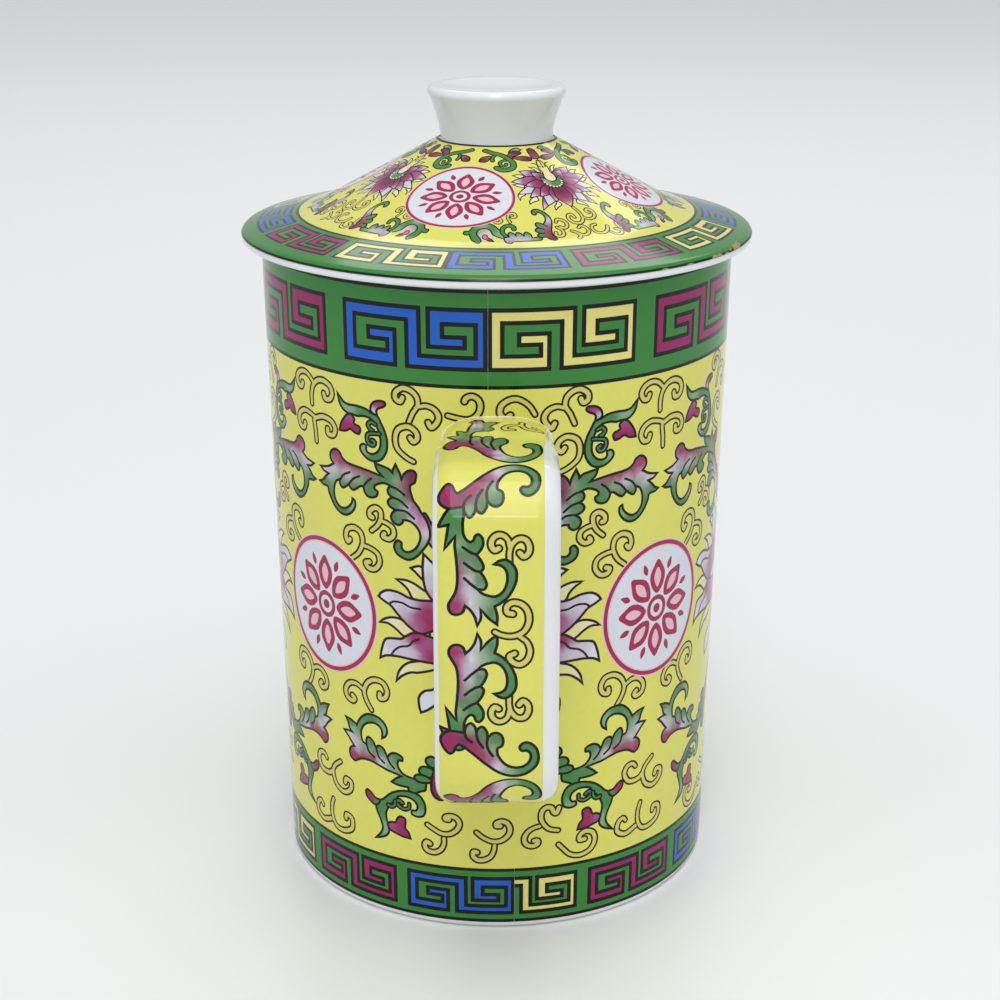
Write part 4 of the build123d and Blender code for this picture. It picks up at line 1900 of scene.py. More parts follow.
@dataclass
class LidField:
    """The lid's yellow ground: four like quarters, each with a lotus in the middle."""

    turn: float
    inner_radius: float = 10.0
    outer_radius: float = 34.4
    half_sweep: float = 45.0
    heart: tuple[float, float] = (0.0, 20.8)
    fine_edge: float = 0.22
    leaf_edge: float = 0.26
    arm_edge: float = 0.28
    bud_edge: float = 0.2
    glow_edge: float = 0.1
    curl: tuple[float, float] = (0.46, 0.22)
    small_curl: tuple[float, float] = (0.4, 0.2)
    seeds: int = 9
    seed_ring: float = 1.75
    seed_out: float = 20.0
    seed: float = 0.2
    medallion_out: float = 23.9
    medallion: tuple[float, float, float] = (9.85, 7.95, 0.46)
    collar: float = 0.5
    collar_overlap: float = 2.0
    grid: float = 1.2
    # A petal's half-width at shares of its length, and how far along it its three tones lie.
    petal_shape: tuple[tuple[float, float], ...] = ((0.05, 0.35), (0.3, 0.8), (0.58, 1.0), (0.82, 0.55))
    petal_spots: tuple[float, float, float] = (0.97, 0.68, 0.34)

    def petal(
        self,
        art: Drawing,
        tip: tuple[float, float],
        half: float,
        wash: tuple[Tone, Tone, Tone],
    ) -> None:
        """Draws one pointed petal from the lotus heart.

        Args:
            art: The drawing to lay it on.
            tip: Millimetres across from the lotus axis and down from the knob's middle.
            half: Half its width.
            wash: Tones at the tip, the middle and the root.
        """
        root = np.array(self.heart)
        way = np.array(tip) - root
        side = np.array([-way[1], way[0]]) / np.linalg.norm(way)
        right = [root + way * a + side * half * b for a, b in self.petal_shape]
        left = [root + way * a - side * half * b for a, b in reversed(self.petal_shape)]
        path = [*right, tip, *left]
        marks = ["!" if i == len(right) else "" for i in range(len(path))]
        text = ", ".join(f"{x:.3f} {y:.3f}{mark}" for (x, y), mark in zip(path, marks))
        spots = [(*(root + way * a), tone) for a, tone in zip(self.petal_spots, wash)]
        art.shape(text, run_between(*spots), LID_EDGE, Tone.PETAL_INK)

    def lotus(self) -> Drawing:
        """Draws the whole lotus of one quarter, with places across and down from the knob's middle.

        Returns:
            The lotus.
        """
        half = flat_sheet()
        for text in LID_HORNS:
            half.shape(text, Wash(Tone.CREAM), self.fine_edge, Tone.CURL_INK)
        pale = (Tone.MILK, Tone.LILAC, Tone.MAUVE)
        broad = (Tone.MILK, Tone.MAUVE, Tone.PLUM)
        deep = (Tone.LILAC, Tone.CLUB, Tone.PLUM)
        for tip, wide, wash in (
            ((-4.8, 16.5), 1.35, broad),
            ((-7.4, 18.5), 1.3, broad),
            ((-7.9, 21.8), 1.1, pale),
            ((-6.3, 23.3), 1.1, broad),
            ((-5.6, 26.9), 0.95, broad),
            ((-4.2, 26.1), 1.4, pale),
            ((-5.6, 20.2), 1.1, deep),
            ((-3.0, 17.4), 1.1, deep),
            ((-4.3, 23.6), 1.1, deep),
            ((-2.2, 25.5), 1.2, deep),
        ):
            self.petal(half, tip, wide, wash)
        art = flat_sheet()
        art.add(half, lambda p: p)
        art.add(half, lambda p: p * (-1.0, 1.0))
        self.petal(art, (0.0, 27.2), 1.6, (Tone.PINK, Tone.CLUB, Tone.PLUM))
        art.shape(
            "-1.9 19, -1.8 20.6, -1 21.7, 0 22, 1 21.7, 1.8 20.6, 1.9 19, 1 19.6, 0 19.9, -1 19.6",
            tones("0 21 LEAF, -1.4 20.4 PALE_LEAF, 1.4 20.4 LEAF"),
            LID_EDGE,
        )
        for i in range(self.seeds):
            turn = math.radians(180 / self.seeds * (i + 0.5))
            spot = (self.seed_ring * math.cos(turn), self.seed_out + self.seed_ring * math.sin(turn))
            art.lay(circle(spot, self.seed, self.seed, 10), Wash(Tone.CREAM))
        art.shape(
            "-0.3 14.6, -0.7 15.6, -0.95 16.6, -0.75 17.8, -1.1 19, -0.8 20, 0 20.3, 0.8 20, 1.1 19,"
            " 0.75 17.8, 0.95 16.6, 0.7 15.6, 0.3 14.6",
            tones("0 16 BUTTER, 0 19.6 CREAM"),
            LID_EDGE,
            Tone.CURL_INK,
        )
        for text in (
            "-0.5 16.4, -1 15.4, -1.6 15.2",
            "0.5 16.4, 1 15.4, 1.6 15.2",
            "0 16.6, 0.1 15.2, 0 14",
        ):
            art.hair(text, LID_EDGE)
        for text in (
            "-4.2 12.8, -3 14, -1.4 14.5, -0.9 13.9, -1.6 13.2, -3 12.9",
            "4.2 12.8, 3 14, 1.4 14.5, 0.9 13.9, 1.6 13.2, 3 12.9",
            "-0.6 14, -0.8 12.6, -0.6 11.5, 0 11.2, 0.6 11.5, 0.8 12.6, 0.6 14",
            "-4.8 12.2, -4 11.5, -2.6 11.4, -2 12.1, -3.4 12.6",
            "4.8 12.2, 4 11.5, 2.6 11.4, 2 12.1, 3.4 12.6",
        ):
            first = read_path(text)[0]
            wash = run_between((*first[0], Tone.RUST), (*first[len(first) // 2], Tone.PLUM))
            art.shape(text, wash, self.fine_edge)
        return art

    def scrolls(self) -> Drawing:
        """Draws the leaf scrolls on one side of a quarter.

        Returns:
            The scrolls.
        """
        art = flat_sheet()
        leaf = Wash(Tone.LEAF)
        low = flat_sheet()
        for text in (
            "-14.9 25.6, -15 26.3, -14.5 26.7, -13.9 26.4, -14 25.8",
            "-12.7 27.5, -12.6 26.4, -12.1 25.7, -11.4 25.6, -11 26.1, -11.3 26.7, -11.8 26.5",
        ):
            low.stroke([text], Wash(Tone.CURL), *self.small_curl)
        low.shape(
            "-19.4 27, -18.6 26.2, -17.6 26.3, -16.9 27.2, -16.9 28.4, -17.4 29.4, -18.4 29.8, -19.4 29.2",
            tones("-18.4 27 PALE_LEAF, -18 28.4 PINK, -18.4 29.4 CREAM"),
            self.glow_edge,
            Tone.PALE_LEAF,
        )
        low.shape(
            "-18.9 28.8, -18.7 28.2, -18.2 28, -17.9 28.4, -18 29, -17.7 29.7, -17.7 30.5!, -18.4 30,"
            " -18.6 29.3",
            tones("-18.4 28.4 ROSE, -18 30 PLUM"),
            self.bud_edge,
        )
        low.shape(
            "-20.3 29.6, -20.7 28.4, -20.6 27.2, -20.3 26.5!, -20.9 26.3, -21.1 25.7, -20.6 25.3, -20 25.7,"
            " -19.2 25.3, -18.2 25, -17.1 25.2, -16.2 25.9, -15.6 26.9, -15.4 28, -15.2 29.2, -14.9 30.6,"
            " -15.8 30.5, -16.5 29.7, -16.9 28.7, -16.8 27.6, -17.2 26.8, -18 26.4, -18.8 26.6, -19.3 27.3,"
            " -19.3 28.3, -19.5 29.2",
            tones(
                "-20.2 28.4 LEAF, -20.6 25.9 LEAF, -19 25.9 LEAF, -17.4 25.8 PALE_LEAF, -16.2 27.2 LEAF,"
                " -15.8 29.6 PALE_LEAF"
            ),
            self.leaf_edge,
            Tone.LEAF_INK,
        )
        for text, width in (
            ("-15.1 30.3, -15.2 29.3, -14.8 28.4, -14 28, -13.2 28.2, -12.8 28.8, -13 29.3", 0.62),
            ("-5.3 13.1, -6 12.9, -6.8 13.2, -6.9 13.9, -6.3 14.3, -5.9 13.9", 0.36),
            ("-6.5 11, -7.2 11.3, -7.6 12.1", 0.42),
            (
                "-7.3 8.9, -6.6 10.2, -5.6 11.4, -4.9 12.8, -4.7 14.1, -5.3 15.2, -6.5 15.4, -7.5 14.9,"
                " -7.9 14.1",
                0.85,
            ),
        ):
            low.stroke([text], leaf, width, self.fine_edge, Tone.LEAF_INK)
        low.shape(
            "-9.6 10.9, -8.8 11.7, -7.9 11.5, -7.2 10.9, -8 10.4, -8.9 10.3",
            tones("-9.2 11 PLUM, -7.6 10.9 RUST"),
            LID_EDGE,
        )
        low.shape(
            "-9.4 33, -10.2 32.6, -11 32.5, -10.9 31.6, -11.3 30.8, -11.9 30.9, -12.2 31.6!, -12.4 30.7,"
            " -12.9 30.2, -13.4 30.6, -13.5 31!, -13.6 30.1, -14.1 29.6, -14.6 30, -14.7 30.6, -15.6 30.5,"
            " -15.9 31.2, -15.9 32, -15.3 32.5, -14.7 32.2, -13.8 32.5, -12.6 32.9, -11.2 33.4, -10 33.7",
            tones(
                "-15.5 32 CLUB, -15.2 31 LILAC, -13.8 31.6 LILAC, -12.4 32.3 LILAC, -11 33 PALE_LEAF,"
                " -11.4 31.3 LEAF, -12.8 30.8 LEAF, -14.1 30.2 LEAF, -9.8 33.2 LEAF"
            ),
            self.leaf_edge,
        )
        low.shape(
            "-8.1 27.3, -7.9 26.5, -7.2 26.2, -6.4 26.6, -5.8 27.5, -5.5 28.7, -5.7 29.9, -6.3 31, -6.9 32,"
            " -7.2 33, -7 34.2, -7.6 34.6, -8.3 34, -8.7 33.2, -9.6 33, -9.9 32.3, -9.3 31.9!, -9.7 31.2,"
            " -9.2 30.6, -8.8 30.7!, -9 30, -8.6 29.4, -8 29.6, -7.6 30.1!, -6.9 29.6, -6.4 28.8,"
            " -6.4 27.9, -6.8 27.3, -7.3 27.2, -7.6 27.6",
            tones(
                "-7.8 26.9 LEAF, -6 27.8 LEAF, -6.2 29.6 LILAC, -6.7 30.8 MAUVE, -7.6 32.4 CLUB,"
                " -7.5 34 PLUM, -8.4 30 LEAF, -9.2 31.2 LEAF, -9.4 32.5 LEAF"
            ),
            self.arm_edge,
        )
        for text in ("-7.6 30.1, -7.1 30.8", "-8.8 30.7, -8 31.3", "-9.3 31.9, -8.4 32.2"):
            low.hair(text, LID_EDGE, Tone.LEAF_INK)
        art.add(low, lambda p: p * (1.0, -1.0))
        sprig = rolled("-19.6 2.4, -16 1.4, -11 1.2, -8 1.7!, -11 2.2, -16 2.9")
        first = read_path(sprig)[0]
        wash = run_between((*first[0], Tone.LEAF), (*first[len(first) // 2], Tone.PALE_LEAF))
        art.shape(sprig, wash, LID_EDGE)
        return art

    def draw(self) -> Drawing:
        """Draws one quarter, from medallion to medallion.

        Returns:
            The drawing.
        """
        inner = DOME_TOP_RADIUS + LID_SECTION.length_at(self.inner_radius)
        outer = DOME_TOP_RADIUS + LID_SECTION.length_at(self.outer_radius)
        sweep = np.radians(np.linspace(-self.half_sweep, self.half_sweep, 46))
        spread = np.column_stack([np.sin(sweep), -np.cos(sweep)])
        drawing = Drawing(np.vstack([spread * outer, spread[::-1] * inner]), Wash(Tone.GROUND))
        for curl in LID_TENDRILS:
            drawing.stroke([downward(text) for text in curl], Wash(Tone.CURL), *self.curl)
        side = self.scrolls()
        drawing.add(side, lambda p: p)
        drawing.add(side, lambda p: p * (-1.0, 1.0))
        drawing.add(self.lotus(), lambda p: p * (1.0, -1.0))
        medallion = flat_sheet()
        Rosette((0.0, -self.medallion_out), *self.medallion).draw(medallion)
        drawing.add(medallion, spin_by(self.half_sweep))
        drawing.add(medallion, spin_by(-self.half_sweep))
        beyond = self.half_sweep + self.collar_overlap
        collar = np.radians(np.linspace(-beyond, beyond, 48))
        around = np.column_stack([np.sin(collar), -np.cos(collar)])
        ring = np.vstack([around * (inner + self.collar), around[::-1] * (inner - self.collar)])
        drawing.lay(ring, Wash(Tone.BLACK))
        return drawing

    def build(self, material: bpy.types.Material) -> None:
        """Wraps the four quarters on the lid.

        Args:
            material: The scroll enamel.
        """
        drawing = self.draw()
        cut = drawing.cut(self.grid)
        least, most = drawing.ground.min(0), drawing.ground.max(0)
        sheet = Sheet(least[0], most[0] - least[0], 1, least[1], most[1] - least[1])
        for i in range(4):
            shell = EnamelShell(LidPlan(self.turn + i * math.pi / 2), sheet)
            piece = shell.build(f"lid_field_enamel_{i + 1}", cut)
            dress(piece, material, Body.LID, "lid_field")


# Gilt specks along the lower edge of the lid's border.
RIM_CRUMBS = (
    "33 0.05, 34.6 0.05, 33.9 0.2",
    "38 0.05, 39.8 0.05, 39 0.22",
    "44.2 0.05, 45.6 0.05, 47.3 0.1, 46.8 0.4, 45.9 0.3, 45 0.45",
    "47.9 0.05, 49.4 0.05, 49 0.25",
    "49.9 0.3, 50.3 0.2, 50.6 0.45, 50.2 0.55",
    "51.4 0.1, 52.6 0.05, 54 0.1, 54.6 0.5, 53.8 1.1, 52.7 0.8, 51.9 1",
)


@dataclass
class StrapHandle:
    """The bent strap, crowned across its outside and run into the cup's wall with a soft fillet."""

    fillet: float = 0.6
    bury: float = 0.4
    bend_gain: float = 0.62
    front_steps: int = 8
    fillet_steps: tuple[float, ...] = (0.06, 0.16, 0.32)
    arm_steps: tuple[float, ...] = (1.5, 3.0, 5.0, 7.0, 9.0, 11.0, 13.0, 15.0, 17.0)

    def wall_ring(self, gap: float, outside: float, way: float) -> np.ndarray:
        """Places the cross-section round the root, at a distance from the cup's wall.

        Args:
            gap: Distance from the wall; below zero lies inside it.
            outside: Height of the outside of the strap there.
            way: 1 at the upper root and -1 at the lower one.

        Returns:
            Places in the frame, in millimetres.
        """
        near = min(max(gap, 0.0), self.fillet)
        flare = self.fillet - math.sqrt(self.fillet**2 - (self.fillet - near) ** 2)
        share = float(STRAP_CROWN.share(np.array(max(gap, 0.0))))
        ring = swell(STRAP_CROWN.ring(share), flare)
        height = outside + way * ring[:, 1]
        reach = np.sqrt((FOOT_RADIUS + height / WALL_RUN) ** 2 - ring[:, 0] ** 2) + gap
        return np.column_stack([ring[:, 0], -reach, height])

    def bend_rings(self) -> list[np.ndarray]:
        """Places the cross-section along the bends and the front.

        Returns:
            One ring of places for each step, from the upper bend to the lower one.
        """
        lengths = STRAP_SECTION.lengths
        front = np.linspace(lengths[ARC_STEPS], lengths[ARC_STEPS + 1], self.front_steps + 1)[1:-1]
        steps = [*lengths[1 : ARC_STEPS + 1], *front, *lengths[ARC_STEPS + 1 : -1]]
        places, normals = STRAP_SECTION.at(np.array(steps))
        ring = STRAP_CROWN.ring(0.0)
        rings = []
        for place, normal in zip(places, normals):
            gain = 1 + self.bend_gain * 2 * abs(normal[0] * normal[1]) / STRAP_CROWN.thick
            out = np.where(ring[:, 1] < -STRAP_CROWN.drop, ring[:, 1] * gain, ring[:, 1])
            spot = place + normal * out[:, None]
            rings.append(np.column_stack([ring[:, 0], -spot[:, 0], spot[:, 1]]))
        return rings

    def build(self, material: bpy.types.Material) -> None:
        """Builds the strap as one closed mesh.

        Args:
            material: The porcelain glaze.
        """
        gaps = (-self.bury, 0.0, *self.fillet_steps, self.fillet, *self.arm_steps)
        rings = [self.wall_ring(gap, STRAP_TOP, 1.0) for gap in gaps]
        rings += self.bend_rings()
        rings += [self.wall_ring(gap, STRAP_LOW, -1.0) for gap in reversed(gaps)]
        count = len(rings[0])
        last = (len(rings) - 1) * count
        faces = [
            (low + j, low + (j + 1) % count, low + count + (j + 1) % count, low + count + j)
            for low in range(0, last, count)
            for j in range(count)
        ]
        faces += [tuple(range(count))[::-1], tuple(range(last, last + count))]
        mesh = bpy.data.meshes.new("strap_handle")
        mesh.from_pydata((np.vstack(rings) * MM).tolist(), [], faces)
        mesh.update()
        mesh.shade_smooth()
        piece = put_in_scene("strap_handle", mesh)
        dress(piece, material, Body.CUP, "handle")


STRAP_CURLS = (
    (
        "1.9 37.2, 1.7 36.2, 1 35.5, 0.2 35.4, -0.6 36, -0.8 37, -0.3 37.8, 0.3 37.5",
        "1.9 39.7, 1.9 38, 2.3 36.8, 3.2 36, 4.2 36.1, 4.8 37.1, 4.7 38.2, 4 38.8, 3.4 38.2",
    ),
    (
        "4.3 3.2, 4.2 5, 4.8 6.6, 5.9 7.3, 6.9 6.8, 7.1 5.8, 6.3 5.5",
        "4.2 5.2, 3.3 4.7, 2.1 5, 1.3 6, 1.6 7.2, 2.6 7.3",
    ),
)
STRAP_LOWER_CURL = (
    "-5 104.2, -3.6 103.2, -2 103.4, -1.4 104.8, -2.2 105.8, -3.2 105.4",
    "-1.6 103.6, 0.4 102.6, 2 103.6, 1.8 105, 0.8 105.2",
)
STRAP_MIDDLE_CURL = (
    "-0.3 50.8, 0.7 51.3, 2.4 51.5, 4 50.8, 4.8 49.2, 4.6 47.4, 3.6 46.3, 2.3 46.1, 1.5 46.8, 1.6 47.7,"
    " 2.4 47.9",
    "3.4 51.5, 4.5 52.4, 5 53.8, 4.6 55.3, 3.5 56.1, 2.4 55.7, 1.9 54.8, 2.7 54.3",
)


@dataclass
class HandleStrip:
    """The yellow strip of leaf scrolls along the outside of the strap, from root to root."""

    left: float = -8.7
    right: float = 7.05
    root_right: float = 8.7
    # Where the lower half mirrors the upper one, and how it is drawn in where the strap turns under.
    fold: float = 100.9
    scroll_fold: float = 98.6
    turn_under: float = 23.5
    under_share: float = 0.6
    upper_root: float = 41.08
    lower_root: float = 40.1
    strips: int = 3
    grid: float = 1.0
    flare: tuple[tuple[float, float], ...] = ((0.8, 5.0), (0.34, 11.0), (0.07, 17.0), (0.0, 22.0))

    def half(self) -> Drawing:
        """Draws the upright scroll of the upper half and its tendrils, with v down from the upper root.

        Returns:
            The scroll and the tendrils of that half.
        """
        art = flat_sheet()
        for curl in STRAP_CURLS:
            art.stroke(curl, Wash(Tone.CURL))
        art.shape(
            "-7.4 32, -8.1 33.2, -8.6 34.3!, -7.8 34.1, -7.1 33.9!, -7.3 35.4, -7.7 37.7!, -6.9 36.6,"
            " -6.1 35.6!, -6.2 37, -6 39, -5.85 41, -5.85 42.8, -6.1 44.3, -6.7 45.5, -7.15 46.4,"
            " -7.1 47.3, -6.6 47.9, -5.8 48, -5.05 47.6, -4.7 46.6!, -4.1 47.1, -3.3 48.3, -2.9 49.8!,"
            " -2.35 48.6, -2.4 47.2!, -1.2 48.6, 0.05 49.6!, 0.1 48.2, -0.3 46.7!, 0.6 46.2, 1.6 45.3,"
            " 2.4 44, 2.9 42.6, 2.9 41, 2.3 39.9, 1.4 39.3, 0.5 39.4, -0.4 40!, 0.6 40.2, 1.3 40.8, 1.6 42,"
            " 1.4 43.4, 0.8 44.5, -0.2 45.1, -1.2 45, -2.2 44.6, -2.9 43.9!, -1.9 44, -1.5 43.4, -1.7 42.4,"
            " -2.4 41.2!, -1.95 40.6, -2.2 39.6, -2.95 38.5!, -2.4 37.8, -2 36.9, -2.1 35.9, -2.7 35.3,"
            " -3.2 35.6, -3.4 36.2, -3.9 36.5, -4.5 36.1, -4.9 35.2, -5 33.8, -4.9 31, -6 30.6",
            tones(
                "-7.2 33.4 LEAF, -7.2 36 LEAF, -5.8 34.2 LEAF, -5.4 37 PALE_LEAF, -2.8 36.6 LEAF,"
                " -4.2 37.2 LEAF, -3 39.8 LEAF, -2.6 42.6 LEAF, -5.3 38.6 LEAF, -5.6 39.9 MAUVE,"
                " -5.6 41.2 CLUB, -5.5 42.6 CLUB, -5.7 44.4 CLUB, -6.4 46.8 CLUB, -5.4 46.6 CLUB,"
                " -4.5 40.6 PALE_LEAF, -4.4 42.4 LILAC, -4.4 44.2 LILAC, -3.6 46 MILK, -3.2 48 LILAC,"
                " -2.4 46.2 PALE_LEAF, -1 47.6 LEAF, 0.6 45.4 LEAF, 2.2 42.4 LEAF, 1.2 39.8 LEAF"
            ),
            STRAP_EDGE,
        )
        self.veins(art, "-2.9 43.9, -3.9 43.1, -4.8 42.2", "-2.4 41.2, -3.2 41, -4.1 40.4, -4.8 39.8")
        self.veins(art, "-2.95 38.5, -3.9 38.1, -5 37.3")
        return art

    def veins(self, art: Drawing, *texts: str) -> None:
        """Draws the dark lines between a leaf's lobes."""
        for text in texts:
            art.hair(text, STRAP_EDGE, Tone.LEAF_INK)

    def hooked_scrolls(self) -> Drawing:
        """Draws the two hooked scrolls that meet at each bend, with v down from the upper root.

        Returns:
            The scrolls.
        """
        art = flat_sheet()
        art.shape(
            "-4.2 4.4, -4.6 6.4, -4.9 8.6, -5.6 8, -6.4 7.1!, -6.3 8.8, -6.2 10.4, -6.9 10.2, -7.7 9.7!,"
            " -7.3 11, -6.8 12.1, -6.3 12.9, -7.3 13.6, -8 14.9, -7.8 16.4, -7 17.6, -6.2 17, -5.9 16.2,"
            " -5.3 15.7, -4.6 15.8, -3.9 16.4, -3.2 17.4, -2.5 18.7, -1.8 20.3, -0.9 21.6, 0.2 22.5,"
            " 1.6 23.1, 3.2 23.2, 4.8 22.6, 6 21.3, 6.7 19.2, 6.8 17, 6.5 15.4, 5.8 14.6, 4.9 14.4,"
            " 4.2 14.9, 4.1 15.8, 4.5 16.6, 5.2 16.9, 5.6 18, 5.3 19.6, 4.4 20.7, 3.3 21.2, 2.2 20.8,"
            " 1.4 19.8, 0.8 18.2, 0.5 16.4, 0.8 15.3, 1.4 14.6, 1.7 13.4, 1.5 12.3, 0.8 11.6, 0 11.9,"
            " -0.7 13.1!, -0.6 11.7, -0.8 10.9, -1.5 10.7, -2.1 11.3, -2.3 12.8!, -2.4 11.4, -2.8 10.8,"
            " -3.4 10.7, -3.9 11.4, -4.1 12.6!, -4.1 10.8, -3.9 9.4, -3.4 8.4, -2.4 8, -1.3 8, -0.6 7.3,"
            " -0.6 6.4, -1.1 5.9!, -0.7 4.8, 0.4 3.4!, -0.8 3, -2 3.4, -2.6 2.2, -3.6 1.8, -4.6 2.8!,"
            " -4.1 3.4",
            tones(
                "-3.8 2.6 CLUB, -3.2 4.8 LILAC, -1.6 4.4 LEAF, -1.6 7 LEAF, -4 7.6 PALE_LEAF, -5.4 10 LEAF,"
                " -6.6 11 PALE_LEAF, -5.2 12 LEAF, -7.1 15.4 CLUB, -6.4 14 CLUB, -5 14.4 CLUB,"
                " -4 15.2 CLUB, -2.8 16.8 CLUB, -1.7 18.8 CLUB, -0.9 20.6 CLUB, -3.2 11.8 PALE_LEAF,"
                " -3 14 MAUVE, -1.5 12 LEAF, -1.4 15 PALE_LEAF, 0.5 13 LEAF, 0 15.5 LEAF, -0.8 17.4 MAUVE,"
                " 0.3 19 LILAC, 0.7 21.4 LILAC, 2.2 22 PALE_LEAF, 4.4 21.8 LEAF, 6.2 19 LEAF, 5.2 15.4 LEAF"
            ),
            STRAP_EDGE,
        )
        self.veins(art, "-4.1 12.6, -4.1 14, -3.7 15.2", "-2.3 12.8, -2.2 14.2, -1.7 15.6, -1.2 16.6")
        self.veins(art, "-0.7 13.1, -0.9 14.4, -0.7 16, -0.3 17.6")
        art.shape(
            "-8.2 30.8, -8.5 29.7, -8 28.5, -7.2 27.7, -6.6 28, -6.2 28.9, -5.8 29.2, -5 28.8, -4 28,"
            " -3 27.1, -2 26.2, -1 25.4, 0 24.7, 1.3 24.1, 2.8 23.9, 4.2 24.2, 5.3 24.9, 6.2 26, 6.4 27.2,"
            " 6.1 28.5, 5.4 29.3, 4.6 29.6, 3.8 29.3, 3.5 28.7, 3.8 28.2, 4.6 28.2, 5.1 27.8, 5.2 26.9,"
            " 4.6 25.9, 3.6 25.4, 2.4 25.4, 1.3 25.9, 0.6 26.7, 0.1 27.7, 0.15 28.6, 0.8 29, 1 29.9,"
            " 0.7 30.8, 0 31.2, -0.8 31, -1.4 30.3!, -1.5 31.4, -2.2 32.2, -2.9 31.8, -3.1 30.9!,"
            " -3.3 32.2, -4 32.8, -4.7 32.2, -4.9 31.2!, -6 31.4, -7.2 31.5",
            tones(
                "-7.6 29.4 CLUB, -6 30.2 CLUB, -5 29.9 PLUM, -4 29.6 CLUB, -3.2 28.4 CLUB, -2 27.3 CLUB,"
                " -0.9 26.4 MAUVE, 0.2 25.6 LILAC, 1.8 24.8 PALE_LEAF, 4 24.8 LEAF, 5.8 27 LEAF,"
                " 4.4 28.9 LEAF, -0.6 28.4 PALE_LEAF, 0 30.1 LEAF, -2.3 31 LEAF, -4 31.9 PALE_LEAF"
            ),
            STRAP_EDGE,
        )
        self.veins(art, "-1.4 30.3, -1.5 29.2, -1.1 28, -0.6 27.3", "-3.1 30.9, -2.8 29.8, -2.1 28.7")
        self.veins(art, "-4.9 31.2, -4.6 30.3, -3.8 29.6")
        return art

    def ends(self) -> np.ndarray:
        """Finds the strip's outline, whose ends follow the cup's wall.

        Returns:
            The outline, with v up from the lower end to zero at the upper root.
        """
        across = np.linspace(self.left, self.root_right, 13)
        top = STRAP_ROOT - (np.sqrt(self.upper_root**2 - across**2) - STRAP_SECTION.line[0, 0])
        reach = np.sqrt(self.lower_root**2 - across**2) - STRAP_SECTION.line[-1, 0]
        low = STRAP_ROOT - (STRAP_SECTION.lengths[-1] - reach)
        spread = self.root_right - self.right
        flare = np.array([(self.right + spread * share, far) for share, far in self.flare])
        rise = flare + (0, low[-1])
        fall = flare[::-1] * (1, -1) + (0, top[-1])
        return np.vstack([np.column_stack([across, low]), rise, fall, np.column_stack([across, top])[::-1]])

    def to_lower_bend(self, places: np.ndarray) -> np.ndarray:
        """Moves the hooked scrolls to the lower bend, drawn in where the strap turns under.

        Args:
            places: Places with v down from the upper root.

        Returns:
            Places with v up, mirrored to the lower half.
        """
        under = np.minimum(places[:, 1] - self.turn_under, 0.0)
        height = places[:, 1] - self.scroll_fold - (1 - self.under_share) * under
        return np.column_stack([places[:, 0], height])

    def draw(self) -> Drawing:
        """Draws the strip with v up, so that it can be wrapped.

        Returns:
            The drawing.
        """
        drawing = Drawing(self.ends(), Wash(Tone.GROUND))
        upright, hooked = self.half(), self.hooked_scrolls()
        drawing.add(upright, lambda p: p * (1.0, -1.0))
        drawing.add(hooked, lambda p: p * (1.0, -1.0))
        drawing.add(upright, lambda p: p + (0.0, -self.fold))
        drawing.add(hooked, self.to_lower_bend)
        middle = flat_sheet()
        for curl in (STRAP_MIDDLE_CURL, STRAP_LOWER_CURL):
            middle.stroke(curl, Wash(Tone.CURL))
        drawing.add(middle, lambda p: p * (1.0, -1.0))
        for i in range(1, self.strips):
            cut = self.low_end + (self.top_end - self.low_end) * i / self.strips
            drawing.guides.append(np.array([(self.left, cut), (self.right, cut)]))
        return drawing

    @property
    def top_end(self) -> float:
        """Highest v of the outline."""
        return float(self.ends()[:, 1].max())

    @property
    def low_end(self) -> float:
        """Lowest v of the outline."""
        return float(self.ends()[:, 1].min())

    def build(self, material: bpy.types.Material) -> None:
        """Wraps the strip on the strap.

        Args:
            material: The scroll enamel.
        """
        long = (self.top_end - self.low_end) / self.strips
        sheet = Sheet(self.low_end, long, self.strips, self.left, self.root_right - self.left, upright=True)
        piece = EnamelShell(StrapFace(), sheet).build("handle_strip_enamel", self.draw().cut(self.grid))
        dress(piece, material, Body.CUP, "handle_strip")


def dress_scrolls(turn: float, material: bpy.types.Material) -> None:
    """Builds every piece in scroll enamel.

    Args:
        turn: How far the cup's drawings are turned from the handle, in radians.
        material: The scroll enamel.
    """
    lid_turn = math.radians(29.3)
    ScrollPanel(turn).build(material)
    HandleStrip().build(material)
    LidField(lid_turn).build(material)


@dataclass
class PorcelainBody:
    """The turned pieces that keep their CAD shape: cup, lid and knob."""

    nodes: tuple[str, ...] = ("cup", "lid", "knob")

    def glaze(self, material: bpy.types.Material) -> None:
        """Gives the pieces their glaze.

        Args:
            material: The porcelain glaze.
        """
        for name in self.nodes:
            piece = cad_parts[name]
            piece.data.materials.clear()
            piece.data.materials.append(material)
            log.info("%s: glazed", name)


def hang_light(light: bpy.types.Light, way: Vector) -> bpy.types.Object:
    """Hangs a light so that it shines one way.

    Args:
        light: The light.
        way: The direction it shines in.

    Returns:
        The object that holds it.
    """
    lamp = put_in_scene(light.name, light)
    lamp.rotation_mode = "QUATERNION"
    lamp.rotation_quaternion = way.to_track_quat("-Z", "Y")
    return lamp


@dataclass(frozen=True)
class SoftLamp:
    """One large soft lamp, pointed at the middle of the mug."""

    name: str
    place: tuple[float, float, float]
    size: tuple[float, float]
    watts: float
    aim: tuple[float, float, float] = (0.0, 0.0, 0.07)

    def hang(self) -> None:
        """Puts the lamp in the scene."""
        light = bpy.data.lights.new(self.name, "AREA")
        light.shape = "RECTANGLE"
        light.size, light.size_y = self.size
        light.energy = self.watts
        hang_light(light, Vector(self.aim) - Vector(self.place)).location = self.place


